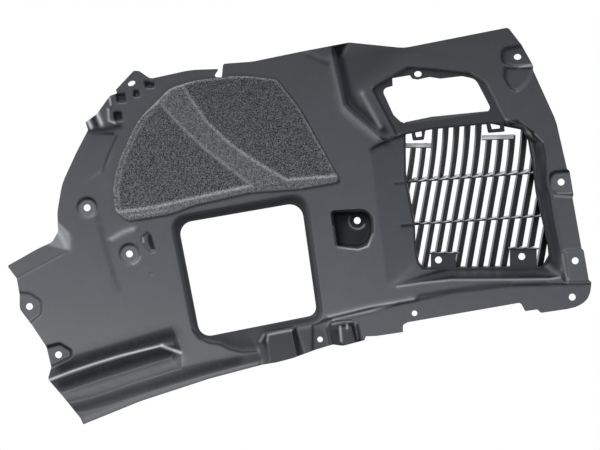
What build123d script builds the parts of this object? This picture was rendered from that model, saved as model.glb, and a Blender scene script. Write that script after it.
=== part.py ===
from build123d import *
import os
from math import asin, ceil, cos, radians, sin, sqrt, tan

# Wheel arch liner. Millimetres. X runs along the axle, +Y points away from the wheel, +Z is up.
# The origin is the datum screw hole, on the floor of its pocket.

# Wall and arch
WALL = 2.4
ARCH_R = 400.0
AXLE_DROP = 90.0
POCKET_DEPTH = 25.0

# Depth of each stepped region, measured outward from the arch
UPPER_DEPTH = 10.0
LEDGE_DEPTH = 5.0
FLANGE_DEPTH = 3.5
VENT_DEPTH = 28.0
RIM_DEPTH = 8.0
SIDE_PANEL_DEPTH = 4.0
TEARDROP_DEPTH = 3.0
HOLLOW_DEPTH = 7.5
TONGUE_DEPTH = 4.0
CLIP_POCKET_DEPTH = 5.0
RIB_HEIGHT = 3.0
BOSS_HEIGHT = 13.0

# Lean of the walls, degrees from the surface normal
STEP_LEAN = 35.0
RIM_LEAN = 42.0
SCOOP_LEAN = 60.0
CHANNEL_EDGE_LEAN = 66.0
CHANNEL_SIDE_LEAN = 50.0
HOLLOW_LEAN = 64.0
DRAFT = 8.0
PAD_LEAN = 30.0
BOX_BOSS_LEAN = 14.0
ROUND_BOSS_LEAN = 30.0
TEARDROP_LEAN = 15.0
LIP_LEAN = 50.0
LIP_END_LEAN = 25.0
RAMP_LEAN = 67.0
VENT_TOP_LEAN = 4.0
VENT_RIGHT_LEAN = 38.0
VENT_SILL_LEAN = 28.0

# Screw holes
SCREW_D = 8.0
SMALL_SCREW_D = 6.5
SLOT_LENGTH = 9.0
SLOT_WIDTH = 6.0
SLOT_TURN = 25.0
UPPER_SCREW_TILT = 42.7
PAD_R = 12.5

# Flat screw pads: depth behind the wheel face at the screw, or height in front of it
LEFT_PAD_DEPTH = 2.9
SIDE_PAD_DEPTH = 3.8
INNER_PAD_DEPTH = 3.0
BAND_PAD_HEIGHT = 4.0

# Vent grille
SLAT_PITCH = 11.55
SLAT_SPREAD = 0.1
SLAT_WALL = 2.2
SLAT_DEPTH = 14.0
SLAT_TURN = 20.0
SLAT_LEAN = 13.9
FIRST_SLAT_X = 39.4
SLAT_ROW_Z = 13.6
BAR_WALL = 2.0
COLLAR_WALL = 2.2
TAB_WALL = 2.6
LOOP_WALL = 2.6

# Felt
FELT_WALL = 5.0
PANEL_PRESS = 2.0
GLUE_LINE = 0.1

# Working room: the largest tool, how far it reaches behind the datum, how far a tool starts in front
# of the wall, and the tallest flat part of a wall that follows the arch
ROOM = 700.0
BEHIND = 40.0
LIFT = 14.0
LONG_LIFT = 56.0
PART_HEIGHT = 60.0

AXLE_Y = -POCKET_DEPTH - sqrt(ARCH_R**2 - AXLE_DROP**2)
UPPER_R = ARCH_R + UPPER_DEPTH
LEDGE_R = UPPER_R + LEDGE_DEPTH
VENT_R = ARCH_R + VENT_DEPTH

# Outlines as (x, z, corner radius), seen from the wheel
OUTER_EDGE = [
    (-409.5, -53, 0), (-349.5, -21.5, 8), (-351, 10, 30), (-345.5, 43, 60), (-329, 79, 0),
    (-315, 106, 0), (-318, 115, 0), (-304.5, 125, 0), (-289.5, 146, 4), (-281, 149, 0),
    (-282.5, 153, 0), (-261.5, 175.5, 4), (-255, 175, 4), (-242, 166, 8), (-212, 174, 0),
    (-162, 177.5, 0), (-168, 168, 0), (-158.5, 167.5, 0), (-157, 183.5, 0), (-123, 186, 0),
    (-9.5, 208.5, 5), (54.5, 202, 40), (176.5, 226, 5), (192, 206, 0), (194.5, 205, 0),
    (206, 181, 0), (205.5, 176.5, 0), (232.5, 117, 40), (245.5, 60.5, 0), (248.5, 58, 0),
    (253, 30.5, 0), (252, 26.5, 0), (262.5, -32.5, 0), (265, -35, 0), (271, -69.5, 0),
    (274, -72, 0), (273, -99, 24), (215, -108, 0), (210.5, -104, 0), (196.5, -106, 0),
    (191, -96, 0), (59, -119, 4), (53.5, -122, 0), (53.5, -130.5, 0), (22.5, -135, 0),
    (10, -135.5, 0), (8.5, -140, 0), (-16.5, -146.5, 4), (-28.5, -145, 0), (-48.5, -151, 0),
    (-75.5, -161, 0), (-94.5, -166, 0), (-110.5, -168.5, 0), (-173, -185, 0),
    (-254, -211.5, 0), (-320.5, -238.5, 0), (-324, -231, 0), (-345, -205, 6), (-362, -185.5, 5),
    (-358, -171.5, 6), (-363.5, -148, 6), (-395, -103.5, 12), (-395, -87, 6), (-398.5, -67.5, 0),
]
WINDOW = [(-209.5, -3.5, 15), (-65.5, 21.5, 16), (-47, -110, 11), (-183.5, -137, 14)]
WINDOW_RIM = [(-220.5, 4, 0), (-59, 34, 0), (-38.5, -118.5, 0), (-188.5, -145.5, 0)]
SCOOP = [
    (-175, -125, 0), (-104, -115, 0), (-104, -131, 0), (-117, -154, 0), (-140, -154, 0),
    (-190, -137.5, 0),
]
SCOOP_LINES = [((-190, -137.5), (-140, -154)), ((-140, -154), (-117, -154))]
UPPER_OPENING = [
    (28.5, 153.5, 0), (41.5, 157.5, 0), (41, 166.5, 0), (61.5, 170, 0), (64.5, 165, 0),
    (71, 165.5, 0), (84.5, 168, 0), (97, 166, 0), (122.5, 169, 12), (138.5, 165.5, 12),
    (159, 127, 0), (54.5, 112.5, 12),
]
UPPER_LEDGE = [
    (16.5, 152, 0), (19, 156.5, 0), (58, 179.5, 0), (78, 178, 0), (132, 172.5, 15), (150.5, 161.5, 15),
    (176.5, 113, 0), (45.5, 102.5, 0),
]
UPPER_RIB = [(2.5, 148, 0), (10, 149.5, 0), (30, 110.5, 0), (23.5, 108, 0)]
DATUM_POCKET = [(-31, 11, 0), (18.5, 13.5, 15), (18.5, -34, 20), (-25, -31, 0)]
STEP_REGION = [
    (-36.5, 258, 0), (-29.5, 190, 0), (-16.5, 133, 0), (22.5, 98, 0), (331, 98, 0), (331, 258, 0),
]
BAND_REGION = [(22.5, 98, 0), (208, -72, 0), (331, -70.5, 0), (331, 120, 0), (60, 120, 0)]
FLANGE_REGION = [
    (-54, -121, 0), (-33, -113, 0), (15, -101, 0), (66, -92, 0), (109.5, -82.5, 0),
    (178.5, -74, 0), (331, -70.5, 0), (331, -210, 0), (-54, -210, 0),
]
SIDE_PANEL = [
    (-315, 100.5, 0), (-282.5, 101.5, 0), (-289.5, 71, 20), (-297.5, 58.5, 12), (-329, 36, 0),
    (-334.5, 43.5, 0), (-320, 79, 60),
]
TEARDROP = [(-246, -13.5, 0), (-253.5, -23.5, 0), (-242, -39.5, 0), (-235.5, -35.5, 0), (-242, -14, 0)]
CHANNEL_EDGE = ((-220, -125.5), (-368, -174.5))
CHANNEL_SIDE = ((-368, -222.5), (-207, -172))
CHANNEL_END = ((-206, -153), (-220, -125.5))
HOLLOW_LINES = [((-213, -174), (-338.5, -213.5)), ((-114, -155), (-213, -174))]
HOLLOW_END = ((-112, -190), (-112, -150))
LOWER_ROOM = [(-450, -105, 0), (-60, -105, 0), (-60, -270, 0), (-450, -270, 0)]
BOX_BOSS = [(-115, -142, 0), (-105.5, -131.5, 0), (-74.5, -125.5, 0), (-58, -194, 0), (-108, -194, 0)]
ROUND_BOSS = [
    (-35.5, -122, 0), (-30, -117, 0), (-5.5, -116, 0), (-0.5, -122, 0), (6.5, -165, 0), (-26, -170, 0),
]
CLIP_POCKETS = [
    [(-283, 148, 0), (-271, 149, 0), (-270, 138, 0), (-281, 138, 0)],
    [(-262, 153, 0), (-254, 152, 0), (-254, 143.5, 0), (-262, 144, 0)],
    [(-249.5, 163, 0), (-237, 160, 0), (-237, 154, 0), (-248, 155, 0)],
    [(-286, 128, 0), (-275, 127, 0), (-275, 117, 0), (-285, 118, 0)],
]

# Vent outline and what is set in it
VENT = [
    (54.5, 102.5, 0), (54.5, 47.5, 0), (66, -22.5, 0), (69.5, -55.5, 0), (217.5, -51.5, 0),
    (225, -36.5, 0), (209, 47.5, 0), (202.5, 109, 16), (156.5, 115.5, 0),
]
RAMP_X = 22.0
VENT_TOP_LINES = [((53.5, 101.5), (16, 82.5)), ((187.5, 117), (53.5, 101.5)), ((219, 90), (187.5, 117))]
VENT_RIGHT_LINE = ((239, -40), (221.5, 75.5))
VENT_SILL_LINE = ((47, -73.5), (236.5, -66.5))
BARS = [((52.5, 44.5), (213.5, 56)), ((65, -5), (218.5, 5))]
SHORT_BARS = [((85, -38.5), (119.5, -38.5)), ((176.5, -33), (213, -33))]
CLIP_WINDOWS = [
    [(50, 130, 0), (86, 130, 0), (86, 86, 0), (50, 86, 0)],
    [(147.5, 130, 0), (181, 130, 0), (181, 95, 0), (147.5, 95, 0)],
]
SILL_BARS = [((50, 85.5), (88, 85.5)), ((145.5, 94.5), (183, 95.5))]
LOOPS = [
    [(62, 110, 0), (65, 93.5, 0), (78, 94.5, 0), (80.5, 111, 0)],
    [(149.5, 119, 0), (153, 102.5, 0), (172.5, 104, 0), (171.5, 119, 0)],
]
LOOP_WINDOWS = [
    [(67, 106, 0), (69, 97.5, 0), (75.5, 98.5, 0), (75, 107, 0)],
    [(155.5, 115, 0), (157.5, 107, 0), (167, 108, 0), (166, 115.5, 0)],
]
TABS = [
    [(86, -38.5, 0), (115.5, -38.5, 0), (115.5, -60, 0), (86, -60, 0)],
    [(178.5, -33, 0), (210, -33, 0), (210, -58, 0), (178.5, -58, 0)],
]

# Left lip, bent towards the wheel along this line
LIP_FOLD = ((-401.5, -69.5), (-341, -37.5))
LIP_END = ((-333, -37), (-356, -5))

# Screw holes and their pads
LEFT_SCREWS = [(-383.5, -100.5), (-349.5, -157)]
LEFT_PADS = [
    [
        (-430, -81, 0), (-384, -83.5, 0), (-375, -87.5, 0), (-369, -95, 0), (-369, -108, 0),
        (-374, -116.5, 0), (-384, -121.5, 0), (-430, -136, 0),
    ],
    [
        (-390, -154, 0), (-351, -143, 0), (-345, -143.5, 0), (-335, -150.5, 0), (-334, -160, 0),
        (-359.5, -172.5, 0), (-390, -182, 0),
    ],
]
SIDE_SCREWS = [(-316, 15), (238.5, 45)]
SIDE_PAD = [(224.5, 52, 0), (230, 58, 0), (290, 63, 0), (290, 25, 0), (230, 33, 0), (224.5, 38, 0)]
INNER_SCREW = (-266.5, -39)
LOWER_SCREWS = [(-43.5, -139), (67, -108.5)]
DUCT_SCREWS = [(95, -46), (192.5, -42)]
BAND_SCREWS = [(255, -47), (251.5, -89.5)]
BAND_PAD = [(240.5, -34, 0), (310, -29, 0), (310, -72, 0), (246, -72, 0)]
UPPER_SCREWS = [(187.5, 191.5), (71, 171.5)]
UPPER_PAD = [(170.5, 202, 0), (235, 213, 0), (235, 181, 0), (182, 179, 0), (169.5, 185.5, 0)]
TONGUE = [
    (171, 178, 0), (171, 166, 0), (178, 154.5, 0), (186, 150, 0), (192, 154, 0), (201, 163.5, 0),
    (220, 178, 0),
]
CLIP_SLOT = (-264, 160.5)

# Felt outlines
FELT_EDGE = [
    (-286, 36, 25), (-283, 10, 0), (-268.5, -1, 0), (-217, 7, 60), (-194.5, 16.5, 60),
    (-127, 32, 90), (-67, 36.5, 90), (-19, 45, 0), (-67, 130.5, 60), (-94, 165.5, 12),
    (-137, 170, 80), (-186.5, 164.5, 60), (-219, 155.5, 30), (-258, 116.5, 80), (-281, 65, 60),
]
FELT_PANELS = [
    [(-275.5, 65.5, 40), (-277.5, 32.5, 0), (-270.5, 13.5, 0), (-239, 16.5, 60), (-128, 37.5, 0),
     (-232, 135.5, 0), (-257, 115, 60)],
    [(-200, 152, 0), (-184, 161, 30), (-137, 167, 60), (-97, 162, 0), (-69.5, 129, 60),
     (-25.5, 50.5, 0), (-80, 44.5, 0)],
]


def arch(radius):
    """The solid on the wheel side of an arch of this radius about the axle."""
    return Pos(0, AXLE_Y, -AXLE_DROP) * Rot(0, 90, 0) * Cylinder(radius, 2 * ROOM)


def on_arch(x, z, radius=ARCH_R):
    """The point of an arch that is seen at (x, z)."""
    return Vector(x, AXLE_Y + sqrt(radius**2 - (z + AXLE_DROP) ** 2), z)


def outward(z, radius=ARCH_R):
    """Unit vector out of the arch, away from the wheel, at height z."""
    angle = asin((z + AXLE_DROP) / radius)
    return Vector(0, cos(angle), sin(angle))


def seat(x, z, radius=ARCH_R):
    """Plane that touches an arch at (x, z) and faces away from the wheel."""
    return Plane(on_arch(x, z, radius), (1, 0, 0), outward(z, radius))


def flat(y):
    """Plane square to Y that faces away from the wheel."""
    return Plane((0, y, 0), (1, 0, 0), (0, 1, 0))


def pad_plane(screw, depth, radius=ARCH_R):
    """Plane square to Y, this deep behind an arch where a screw passes through it."""
    return flat(on_arch(*screw, radius).Y + depth)


def reverse(plane):
    """The same plane, facing the other way."""
    return Plane(plane.origin, plane.x_dir, plane.z_dir * -1)


def middle(outline):
    """Middle of an outline's box."""
    xs = [point[0] for point in outline]
    zs = [point[1] for point in outline]
    return (min(xs) + max(xs)) / 2, (min(zs) + max(zs)) / 2


def drawn(outline, plane, grow=0.0):
    """Face, in a plane's own coordinates, that an outline covers when it is seen along Y."""
    origin, facing = plane.origin, plane.z_dir
    points = []
    for x, z, _ in outline:
        y = origin.Y - ((x - origin.X) * facing.X + (z - origin.Z) * facing.Z) / facing.Y
        points.append(plane.to_local_coords(Vector(x, y, z)))
    face = make_face(FilletPolyline(*points, radius=[r for _, _, r in outline], close=True))
    return offset(face, grow, kind=Kind.INTERSECTION) if grow else face


def tapered(outline, plane, length, lean, grow=0.0, lift=LIFT):
    """Tapering solid that has the outline's size at a plane, from lift before it to length past it."""
    start = drawn(outline, plane, grow + lift * tan(radians(lean)))
    return plane.offset(-lift) * extrude(start, lift + length, taper=lean)


def sunk(outline, plane, depth, lean, grow=0.0, lift=LIFT):
    """Tool for a recess that narrows away from the wheel."""
    return tapered(outline, plane, depth + grow, lean, grow, lift)


def raised(outline, plane, height, lean, grow=0.0):
    """Tool for a boss that narrows towards the wheel."""
    return tapered(outline, reverse(plane), height - grow, lean, -grow)


def prism(outline, plane, grow=0.0):
    """Straight prism through everything, square to a plane."""
    return plane * extrude(drawn(outline, plane, grow), ROOM / 4, both=True)


def beyond(line, lean, radius=ARCH_R, grow=0.0, towards_wheel=False):
    """Half-space on the left of a line on the arch, behind a wall that leans into it."""
    (x0, z0), (x1, z1) = line
    start = on_arch(x0, z0, radius)
    end = on_arch(x1, z1, radius)
    along = (end - start).normalized()
    left = along.cross(outward((z0 + z1) / 2, radius)).normalized()
    deeper = left.cross(along)
    if towards_wheel:
        deeper = deeper * -1
    facing = left * cos(radians(lean)) - deeper * sin(radians(lean))
    wall = Plane((start + end) * 0.5 - facing * grow, along, facing)
    return wall * Box(2 * ROOM, 2 * ROOM, 2 * ROOM, align=(Align.CENTER, Align.CENTER, Align.MIN))


def block(grow=0.0):
    """Everything round the part, from the axle to a little way behind the liner."""
    size = ROOM + grow
    depth = BEHIND + grow - AXLE_Y
    return Pos(0, AXLE_Y, 0) * Box(2 * size, depth, size, align=(Align.CENTER, Align.MIN, Align.CENTER))


def walls_along(lines, lean, radius=ARCH_R, grow=0.0):
    """Leaning walls along lines on an arch, cut into parts that are short enough to follow it."""
    walls = []
    for (x0, z0), (x1, z1) in lines:
        parts = max(1, ceil(abs(z1 - z0) / PART_HEIGHT))
        marks = [(x0 + (x1 - x0) * i / parts, z0 + (z1 - z0) * i / parts) for i in range(parts + 1)]
        walls += [beyond(part, lean, radius, grow) for part in zip(marks, marks[1:])]
    return walls


def cone(x, lean, grow=0.0):
    """The solid inside a cone about the axle, which leaves the arch at x and widens to the right."""
    widening = ROOM / 2 / tan(radians(lean))
    radius = ARCH_R + grow / sin(radians(lean))
    return Pos(x, AXLE_Y, -AXLE_DROP) * Rot(0, 90, 0) * Cone(radius - widening, radius + widening, ROOM)


def walled(walls):
    """Pit that some leaning walls enclose."""
    pit = block()
    for wall in walls:
        pit = pit & wall
    return pit


def ring_lines(outline):
    """Sides of a convex outline, each with the inside on its left."""
    points = [(x, z) for x, z, _ in outline]
    return list(zip(points[1:] + points[:1], points))


def round_pad(screw, plane, grow):
    """Tool for a round flat pad in a plane, centred on a screw."""
    x, z = screw
    start = Pos(x, -z, 0) * Circle(PAD_R + grow + LIFT * tan(radians(PAD_LEAN)))
    return plane.offset(-LIFT) * extrude(start, LIFT + grow, taper=PAD_LEAN)


def upper_screw_plane():
    """Plane of the two upper screw seats, tilted with the top of the arch."""
    tilt = radians(UPPER_SCREW_TILT)
    facing = Vector(0, cos(tilt), sin(tilt))
    axle = Vector(0, AXLE_Y, -AXLE_DROP)
    return Plane(axle + facing * LEDGE_R, (1, 0, 0), facing)


def stepped_regions(grow):
    """Tools for the regions that lie deeper than the arch."""
    step_plane = seat(*STEP_REGION[2][:2])
    step = sunk(STEP_REGION, step_plane, LIFT, STEP_LEAN, grow, lift=LONG_LIFT)
    upper = (step + prism(BAND_REGION, flat(0), grow)) & arch(UPPER_R + grow)
    flange = prism(FLANGE_REGION, flat(0), grow) & arch(ARCH_R + FLANGE_DEPTH + grow)
    lower_room = prism(LOWER_ROOM, flat(0), grow)
    hollow = walled([
        *walls_along(HOLLOW_LINES, HOLLOW_LEAN, grow=grow), beyond(HOLLOW_END, STEP_LEAN, grow=grow),
    ])
    hollow = hollow & lower_room & arch(ARCH_R + HOLLOW_DEPTH + grow)
    ledge = sunk(UPPER_LEDGE, seat(*middle(UPPER_LEDGE), UPPER_R), LIFT, DRAFT, grow)
    ledge = ledge & arch(LEDGE_R + grow)
    rim = walled(walls_along(ring_lines(WINDOW_RIM), RIM_LEAN, grow=grow))
    rim = rim & prism(WINDOW_RIM, flat(0), grow)
    scoop = walled(walls_along(SCOOP_LINES, SCOOP_LEAN, grow=grow)) & prism(SCOOP, flat(0), grow)
    rim = (rim + scoop) & arch(ARCH_R + RIM_DEPTH + grow)
    channel = walled([
        beyond(CHANNEL_EDGE, CHANNEL_EDGE_LEAN, grow=grow),
        beyond(CHANNEL_SIDE, CHANNEL_SIDE_LEAN, grow=grow),
        beyond(CHANNEL_END, STEP_LEAN, grow=grow),
    ])
    channel = channel & lower_room
    return [upper, flange, hollow, ledge, rim, channel]


def vent_funnel(grow):
    """Tool for the recess round the vent: a long ramp on the left and steep walls elsewhere."""
    walls = [cone(RAMP_X, RAMP_LEAN, grow)]
    walls += walls_along(VENT_TOP_LINES, VENT_TOP_LEAN, UPPER_R, grow)
    walls += walls_along([VENT_RIGHT_LINE], VENT_RIGHT_LEAN, UPPER_R, grow)
    walls.append(beyond(VENT_SILL_LINE, VENT_SILL_LEAN, grow=grow))
    return walled(walls) & arch(VENT_R + grow)


def bosses(grow):
    """Tools for what stands up towards the wheel: the lip, the two bosses, the rib and a pad."""
    lip = walled([
        beyond(LIP_FOLD, LIP_LEAN, grow=-grow, towards_wheel=True),
        beyond(LIP_END, LIP_END_LEAN, grow=-grow, towards_wheel=True),
    ])
    box = raised(BOX_BOSS, seat(*middle(BOX_BOSS[:3])), BOSS_HEIGHT, BOX_BOSS_LEAN, grow)
    round_boss = raised(ROUND_BOSS, seat(*middle(ROUND_BOSS[:3])), BOSS_HEIGHT, ROUND_BOSS_LEAN, grow)
    rib = raised(UPPER_RIB, seat(*middle(UPPER_RIB), UPPER_R), RIB_HEIGHT, PAD_LEAN, grow)
    band_pad = raised(BAND_PAD, pad_plane(BAND_SCREWS[0], -BAND_PAD_HEIGHT, UPPER_R), 0, PAD_LEAN, grow)
    return [lip, box, round_boss, rib, band_pad]


def pockets(grow):
    """Tools for the small recesses and the screw pads."""
    tools = [sunk(DATUM_POCKET, flat(-POCKET_DEPTH), POCKET_DEPTH, DRAFT, grow)]
    left_plane = pad_plane(LEFT_SCREWS[0], LEFT_PAD_DEPTH)
    side_plane = pad_plane(SIDE_SCREWS[0], SIDE_PAD_DEPTH)
    tools += [sunk(pad, left_plane, 0, PAD_LEAN, grow) for pad in LEFT_PADS]
    tools.append(round_pad(SIDE_SCREWS[0], side_plane, grow))
    tools.append(sunk(SIDE_PAD, side_plane, 0, PAD_LEAN, grow))
    tools.append(round_pad(INNER_SCREW, pad_plane(INNER_SCREW, INNER_PAD_DEPTH), grow))
    tools.append(sunk(UPPER_PAD, upper_screw_plane(), 0, PAD_LEAN, grow))
    tools.append(sunk(TONGUE, seat(*middle(TONGUE), UPPER_R), TONGUE_DEPTH, PAD_LEAN, grow))
    tools.append(sunk(SIDE_PANEL, seat(*middle(SIDE_PANEL)), SIDE_PANEL_DEPTH, PAD_LEAN, grow))
    tools.append(sunk(TEARDROP, seat(*middle(TEARDROP)), TEARDROP_DEPTH, TEARDROP_LEAN, grow))
    tools += [sunk(hole, seat(*middle(hole)), CLIP_POCKET_DEPTH, DRAFT, grow) for hole in CLIP_POCKETS]
    return tools


def form(grow):
    """All that lies behind one face of the wall: the wheel face, or the far face when grown by the wall."""
    body = block(grow) - arch(ARCH_R + grow)
    body = body - stepped_regions(grow) - vent_funnel(grow)
    body = body + bosses(grow)
    return body - pockets(grow)


def screw_holes():
    """Tools for the round screw holes and the clip slot."""
    tools = []
    for x, z in LEFT_SCREWS + SIDE_SCREWS + [INNER_SCREW, (0, 0)] + DUCT_SCREWS + BAND_SCREWS:
        tools.append(Pos(x, 0, z) * Rot(90, 0, 0) * Cylinder(SCREW_D / 2, ROOM / 2))
    for x, z in LOWER_SCREWS:
        tools.append(Pos(x, 0, z) * Rot(90, 0, 0) * Cylinder(SMALL_SCREW_D / 2, ROOM / 2))
    plane = upper_screw_plane()
    for x, z in UPPER_SCREWS:
        rise = (z - plane.origin.Z) / plane.z_dir.Y
        tools.append(plane * Pos(x, -rise, 0) * Cylinder(SCREW_D / 2, LONG_LIFT))
    slot_plane = seat(*CLIP_SLOT)
    slot = Rot(0, 0, -SLOT_TURN) * SlotOverall(SLOT_LENGTH, SLOT_WIDTH)
    tools.append(slot_plane * extrude(slot, LIFT, both=True))
    return tools


def slab(point, along, across, thickness):
    """Large thin plate through a point, spanned by two directions."""
    facing = Vector(along).cross(Vector(across)).normalized()
    return Plane(point, along, facing) * Box(ROOM, ROOM, thickness)


def column(line):
    """Upright prism over the stretch that a line spans in X, used to trim short bars."""
    (x0, _), (x1, _) = line
    return Pos((x0 + x1) / 2, 0, 0) * Box(x1 - x0, ROOM, ROOM)


def slat_row():
    """Places of the slats along their row, from the first to the one by the vent's right corner."""
    corner_x, corner_z, _ = max(VENT)
    last = corner_x + (SLAT_ROW_Z - corner_z) * tan(radians(SLAT_LEAN)) - SLAT_PITCH / 2
    places = []
    x = FIRST_SLAT_X
    while x < last:
        places.append(x)
        i = len(places)
        x = FIRST_SLAT_X + i * SLAT_PITCH + i * i * SLAT_SPREAD
    return places


def vent_grille(behind):
    """Slats, crossbars and collar of the vent, with its screw tabs. The collar starts at the wheel face."""
    plane = seat(*middle(VENT), VENT_R)
    tube = arch(VENT_R + SLAT_DEPTH) & prism(VENT, plane, COLLAR_WALL)
    collar = (tube & behind) - prism(VENT, plane)
    frame = tube - arch(VENT_R)
    facing = Vector(1, -tan(radians(SLAT_TURN)), -tan(radians(SLAT_LEAN))).normalized()
    slats = []
    for x in slat_row():
        plate = Plane(on_arch(x, SLAT_ROW_Z, VENT_R), z_dir=facing) * Box(ROOM, ROOM, SLAT_WALL)
        slats.append(frame & plate)
    windows = [prism(window, plane) for window in CLIP_WINDOWS]
    backed = [prism(tab, flat(0)) for tab in TABS]
    slats = [slat - windows - backed for slat in slats]
    bars = [frame & radial_plate(line, VENT_R) for line in BARS]
    bars += [frame & radial_plate(line, VENT_R) & column(line) for line in SHORT_BARS + SILL_BARS]
    tabs = [tab & tab_layer() for tab in backed]
    return [collar, *slats, *bars, *tabs]


def radial_plate(line, radius):
    """Thin plate that follows a line on an arch and stands square to it."""
    (x0, z0), (x1, z1) = line
    start = on_arch(x0, z0, radius)
    along = (on_arch(x1, z1, radius) - start).normalized()
    return slab(start, along, outward((z0 + z1) / 2, radius), BAR_WALL)


def tab_layer():
    """Flat layer that the two screw tabs are cut from, level with the vent floor."""
    layer = Box(2 * ROOM, ROOM, TAB_WALL, align=(Align.CENTER, Align.CENTER, Align.MIN))
    return pad_plane(DUCT_SCREWS[0], 0, VENT_R) * layer


def clip_loops():
    """Loops that hang from the bar between the two openings."""
    layer = arch(LEDGE_R + LOOP_WALL) - arch(LEDGE_R)
    loops = []
    for loop, window in zip(LOOPS, LOOP_WINDOWS):
        loops.append((layer & prism(loop, flat(0))) - prism(window, flat(0)))
    return loops


def liner_shell():
    """The moulded liner: the layer between its two faces, trimmed, opened and fitted with its grille."""
    behind = form(0)
    shell = (behind - form(WALL)) & prism(OUTER_EDGE, flat(0))
    shell = shell - prism(WINDOW, flat(0))
    shell = shell - prism(UPPER_OPENING, seat(*middle(UPPER_OPENING), LEDGE_R))
    shell = shell - prism(VENT, seat(*middle(VENT), VENT_R))
    shell = shell + vent_grille(behind) + clip_loops()
    return shell - screw_holes()


def felt_pad():
    """The felt on the wheel face of the arch, with its two pressed panels."""
    back_r = ARCH_R - GLUE_LINE
    front_r = back_r - FELT_WALL
    felt = (arch(back_r) - arch(front_r)) & prism(FELT_EDGE, flat(0))
    for panel in FELT_PANELS:
        felt = felt - (prism(panel, flat(0)) & arch(front_r + PANEL_PRESS))
    return felt


NODES = {"liner_shell": liner_shell, "felt_pad": felt_pad}

os.makedirs("parts", exist_ok=True)
for name, build in NODES.items():
    export_step(build(), f"parts/{name}.step")
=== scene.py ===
from math import acos, asin, ceil, cos, hypot, pi, radians, sin, sqrt, tan

import bpy
import numpy as np
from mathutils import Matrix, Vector
from mathutils.geometry import delaunay_2d_cdt


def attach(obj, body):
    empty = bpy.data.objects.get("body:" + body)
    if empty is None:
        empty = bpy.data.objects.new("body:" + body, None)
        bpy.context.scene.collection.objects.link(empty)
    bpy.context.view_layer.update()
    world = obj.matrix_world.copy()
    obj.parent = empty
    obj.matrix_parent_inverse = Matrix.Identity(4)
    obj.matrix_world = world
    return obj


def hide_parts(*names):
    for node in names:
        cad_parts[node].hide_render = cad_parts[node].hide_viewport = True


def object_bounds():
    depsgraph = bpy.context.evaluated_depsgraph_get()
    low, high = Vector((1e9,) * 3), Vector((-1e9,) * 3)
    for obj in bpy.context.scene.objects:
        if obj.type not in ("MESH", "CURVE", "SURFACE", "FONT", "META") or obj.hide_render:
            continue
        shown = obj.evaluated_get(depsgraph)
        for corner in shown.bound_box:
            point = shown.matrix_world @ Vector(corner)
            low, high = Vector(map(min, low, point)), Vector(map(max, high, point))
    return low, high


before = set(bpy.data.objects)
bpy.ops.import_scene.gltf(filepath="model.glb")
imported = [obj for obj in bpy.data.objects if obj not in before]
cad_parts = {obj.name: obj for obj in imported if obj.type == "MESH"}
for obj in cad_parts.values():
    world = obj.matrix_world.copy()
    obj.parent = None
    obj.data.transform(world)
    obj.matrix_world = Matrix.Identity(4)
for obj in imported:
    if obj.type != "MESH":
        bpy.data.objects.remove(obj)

# Wheel arch liner, dressed. Sizes are in millimetres until a mesh is made. X runs along the axle, +Y
# points away from the wheel, +Z is up. "Plan" means the view along Y: places in it are (x, z), and
# depth is measured outward from the arch, so that a boss has a negative depth.

CAD_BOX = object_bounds()
MM = 0.001

# Wall and arch, as in the solids
WALL = 2.4
ARCH_R = 400.0
AXLE_DROP = 90.0
POCKET_DEPTH = 25.0
AXLE_Y = -POCKET_DEPTH - sqrt(ARCH_R**2 - AXLE_DROP**2)
UPPER_DEPTH = 10.0
LEDGE_DEPTH = 15.0
FLANGE_DEPTH = 3.5
VENT_DEPTH = 28.0
RIM_DEPTH = 8.0
BOSS_HEIGHT = 13.0

# Widths in plan of the sloped walls round these forms, the drop of the notch at the top, and the curve
# of the window's rim
STEP_WALL = 7.0
LEDGE_WALL = 1.2
UPPER_V_DROP = 6.0
UPPER_V_WALL = 6.0
FLANGE_WALL = 2.5
RIM_CURVE = 1.6

# Plan grid that the depths are worked out on, how far its distances reach, how outlines are rounded,
# and how closely the mesh follows it. WIDE_REACH is a whole number, so the distances that are taken
# with it come in whole millimetres.
CELL = 0.8
PLAN_LOW = (-414.0, -243.0)
PLAN_HIGH = (278.0, 231.0)
EDGE_ROUND = 0.9
MESH_STEPS = (12.8, 6.4, 3.2, 1.6, 0.8)
MESH_TOLERANCE = 0.13
LOOP_STEP = 2.4
FIELD_REACH = 30.0
WIDE_REACH = 60
CORNER_SHARE = 0.49
LEAST_TURN = 0.02
TURN_STEP = 0.25
OVAL_POINTS = 28
ARC_POINTS = 24
BLUR_REACH = 3.0
GRID_MARGIN = 1.001
TINY = 1e-6
MERGE_GAP = 1e-4

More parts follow.
